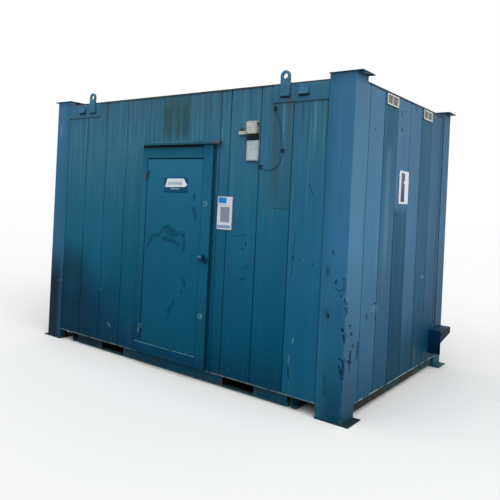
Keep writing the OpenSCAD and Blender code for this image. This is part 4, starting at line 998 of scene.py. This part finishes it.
flatSign("doorSignPlate", signValues["doorTab"], cabin["leafFace"], onFront,
         makeSignFace("doorSignFace", "door"), "door")
flatSign("doorSignStrip", signValues["doorStrip"], cabin["leafFace"], onFront,
         makeSignFace("doorStripFace", "strip", (0, 70, 104), 0.04), "door", 0.0022)
flatSign("noticeBoard", cornered(*signValues["notice"], signValues["radius"]), cabin["skinFront"], onFront,
         makeSignFace("noticeFace", "notice", (198, 207, 218)), "cabin", 0.005)
flatSign("endWallSign", cornered(*signValues["endSign"], signValues["radius"]), cabin["skinEnd"], onEnd,
         makeSignFace("endSignFace", "end"), "cabin")
print("signs made")

# weld beads down both sides of each lug and under it, where it meets its header plate
weldValues = {"size": 0.0045, "ripple": 0.22, "pitch": 0.006, "around": 10, "sink": 0.001,
              "low": 2.548, "high": 2.636}


def makeWelds(values):
    p, soil = fittingBase("weldPaint", (40, 88, 112), (22, 50, 58), 0.8, 60)
    material = fittingEnd(p, soil, 0.42, 0, 60, 0.15)
    turn = np.linspace(0, 2 * np.pi, values["around"], endpoint=False)
    points, faces, start = [], [], 0
    for wall in (-1, 1):
        plane = cabin["middleY"] + wall * (cabin["middleY"] - cabin["plateFace"] - values["sink"])
        for side in (-1, 1):
            middle = cabin["middleX"] + side * liftingPaint["lugX"]
            half = liftingPaint["lugHalf"]
            for run in ((-half, values["low"], -half, values["high"]), (half, values["low"], half, values["high"]),
                        (-half, values["low"], half, values["low"])):
                # S(u, v) = the path at u + r(u) (cos v, sin v), r swelling at each ripple and closing at the ends
                length = np.hypot(run[2] - run[0], run[3] - run[1])
                u = np.linspace(0, length, int(length / values["pitch"] * 6) + 1)[:, None]
                swell = 1 + values["ripple"] * (np.abs(np.sin(np.pi * u / values["pitch"])) - 1)
                close = np.sqrt(np.clip(np.minimum(u, length - u) / (2 * values["size"]), 0.004, 1))
                reach = values["size"] * swell * close
                x = middle + run[0] + (run[2] - run[0]) * u / length
                z = run[1] + (run[3] - run[1]) * u / length
                if run[0] == run[2]:
                    ring = (x + reach * np.cos(turn), plane + reach * np.sin(turn), z + 0 * turn)
                else:
                    ring = (x + 0 * turn, plane + reach * np.cos(turn), z + reach * np.sin(turn))
                rings = np.stack(ring, -1)
                points.append(rings.reshape(-1, 3))
                faces += closedFaces(*rings.shape[:2], start)
                start += rings.shape[0] * rings.shape[1]
    return makePiece("lugWelds", np.concatenate(points), faces, material, "cabin", True)


makeWelds(weldValues)

# a loop of tie wire left in the right lug's eye, its tail lying on the header plate
tieValues = {"size": 0.0014, "around": 8, "steps": 64,
             "path": [(1.19, -1.2045, 2.702), (1.197, -1.206, 2.692), (1.214, -1.2055, 2.68),
                      (1.234, -1.204, 2.661), (1.262, -1.193, 2.64), (1.288, -1.189, 2.626),
                      (1.314, -1.1885, 2.612)]}


def makeTieWire(values):
    # S(u, v) = a Catmull-Rom curve through the path's places at u + r (n cos v + b sin v)
    p, soil = fittingBase("tieWireSteel", (50, 60, 62), (80, 62, 50), 0.8, 60)
    material = fittingEnd(p, soil, 0.5, 0.3, 60, 0.3)
    knots = np.array(values["path"])
    knots = np.concatenate([2 * knots[:1] - knots[1:2], knots, 2 * knots[-1:] - knots[-2:-1]])
    share = np.linspace(0, len(knots) - 3 - 1e-6, values["steps"])
    place = share.astype(int)
    t = (share - place)[:, None]
    a, b, c, d = (knots[place + i] for i in range(4))
    line = 0.5 * (2 * b + (c - a) * t + (2 * a - 5 * b + 4 * c - d) * t ** 2 + (3 * b - 3 * c + d - a) * t ** 3)
    along = np.gradient(line, axis=0)
    along /= np.linalg.norm(along, axis=1, keepdims=True)
    normal = np.cross(along, (0, 1, 0))
    normal /= np.linalg.norm(normal, axis=1, keepdims=True)
    side = np.cross(along, normal)
    turn = np.linspace(0, 2 * np.pi, values["around"], endpoint=False)[None, :, None]
    rings = line[:, None] + values["size"] * (normal[:, None] * np.cos(turn) + side[:, None] * np.sin(turn))
    return makePiece("tieWire", rings, closedFaces(*rings.shape[:2]), material, "cabin", True)


makeTieWire(tieValues)
print("welds and tie wire made")


# floor, light, background
stageValues = {"half": 60.0, "rough": 0.9, "lit": (0.24, 0.24, 0.24), "seen": (0.72, 0.72, 0.715)}


# 1 for rays that show the object or its surroundings, 0 for rays that light it
def seenRays(tree):
    path = tree.nodes.new("ShaderNodeLightPath")
    result = path.outputs["Is Camera Ray"]
    for name in ("Is Transmission Ray", "Is Glossy Ray"):
        node = tree.nodes.new("ShaderNodeMath")
        node.operation, node.use_clamp = "ADD", True
        tree.links.new(result, node.inputs[0])
        tree.links.new(path.outputs[name], node.inputs[1])
        result = node.outputs[0]
    return result


def makeStage(values):
    half = values["half"]
    mesh = bpy.data.meshes.new("studioFloor")
    mesh.from_pydata([(-half, -half, 0), (half, -half, 0), (half, half, 0), (-half, half, 0)], [], [(0, 1, 2, 3)])
    floor = bpy.data.objects.new("studioFloor", mesh)
    material = bpy.data.materials.new("floorPaint")
    material.use_nodes = True
    tree = material.node_tree
    shader = tree.nodes["Principled BSDF"]
    mix = tree.nodes.new("ShaderNodeMix")
    mix.data_type = "RGBA"
    tree.links.new(seenRays(tree), mix.inputs[0])
    mix.inputs[6].default_value = (*values["lit"], 1)
    mix.inputs[7].default_value = (*values["seen"], 1)
    tree.links.new(mix.outputs[2], shader.inputs["Base Color"])
    shader.inputs["Roughness"].default_value = values["rough"]
    mesh.materials.append(material)
    bpy.context.scene.collection.objects.link(floor)


lightValues = {
    "ambient": 0.6,
    "sky": {"energy": 1.9, "from": (0.1, -0.46, 0.88), "angle": 80},
    "side": {"energy": 1.7, "from": (0.86, -0.36, 0.36), "angle": 60},
}


def makeLight(values):
    world = bpy.data.worlds.new("paleRoom")
    bpy.context.scene.world = world
    world.use_nodes = True
    tree = world.node_tree
    tree.nodes.clear()
    strength = tree.nodes.new("ShaderNodeMapRange")
    strength.inputs["To Min"].default_value = values["ambient"]
    strength.inputs["To Max"].default_value = 1
    tree.links.new(seenRays(tree), strength.inputs[0])
    back = tree.nodes.new("ShaderNodeBackground")
    back.inputs["Color"].default_value = (1, 1, 1, 1)
    tree.links.new(strength.outputs[0], back.inputs["Strength"])
    out = tree.nodes.new("ShaderNodeOutputWorld")
    tree.links.new(back.outputs[0], out.inputs[0])
    for name in ("sky", "side"):
        data = bpy.data.lights.new(name + "Lamp", "SUN")
        data.energy, data.angle = values[name]["energy"], np.radians(values[name]["angle"])
        lamp = bpy.data.objects.new(name + "Lamp", data)
        lamp.rotation_euler = Vector(values[name]["from"]).to_track_quat("Z", "Y").to_euler()
        bpy.context.scene.collection.objects.link(lamp)


makeStage(stageValues)
makeLight(lightValues)
bpy.context.scene.view_settings.view_transform = "Standard"
print("stage and light made")
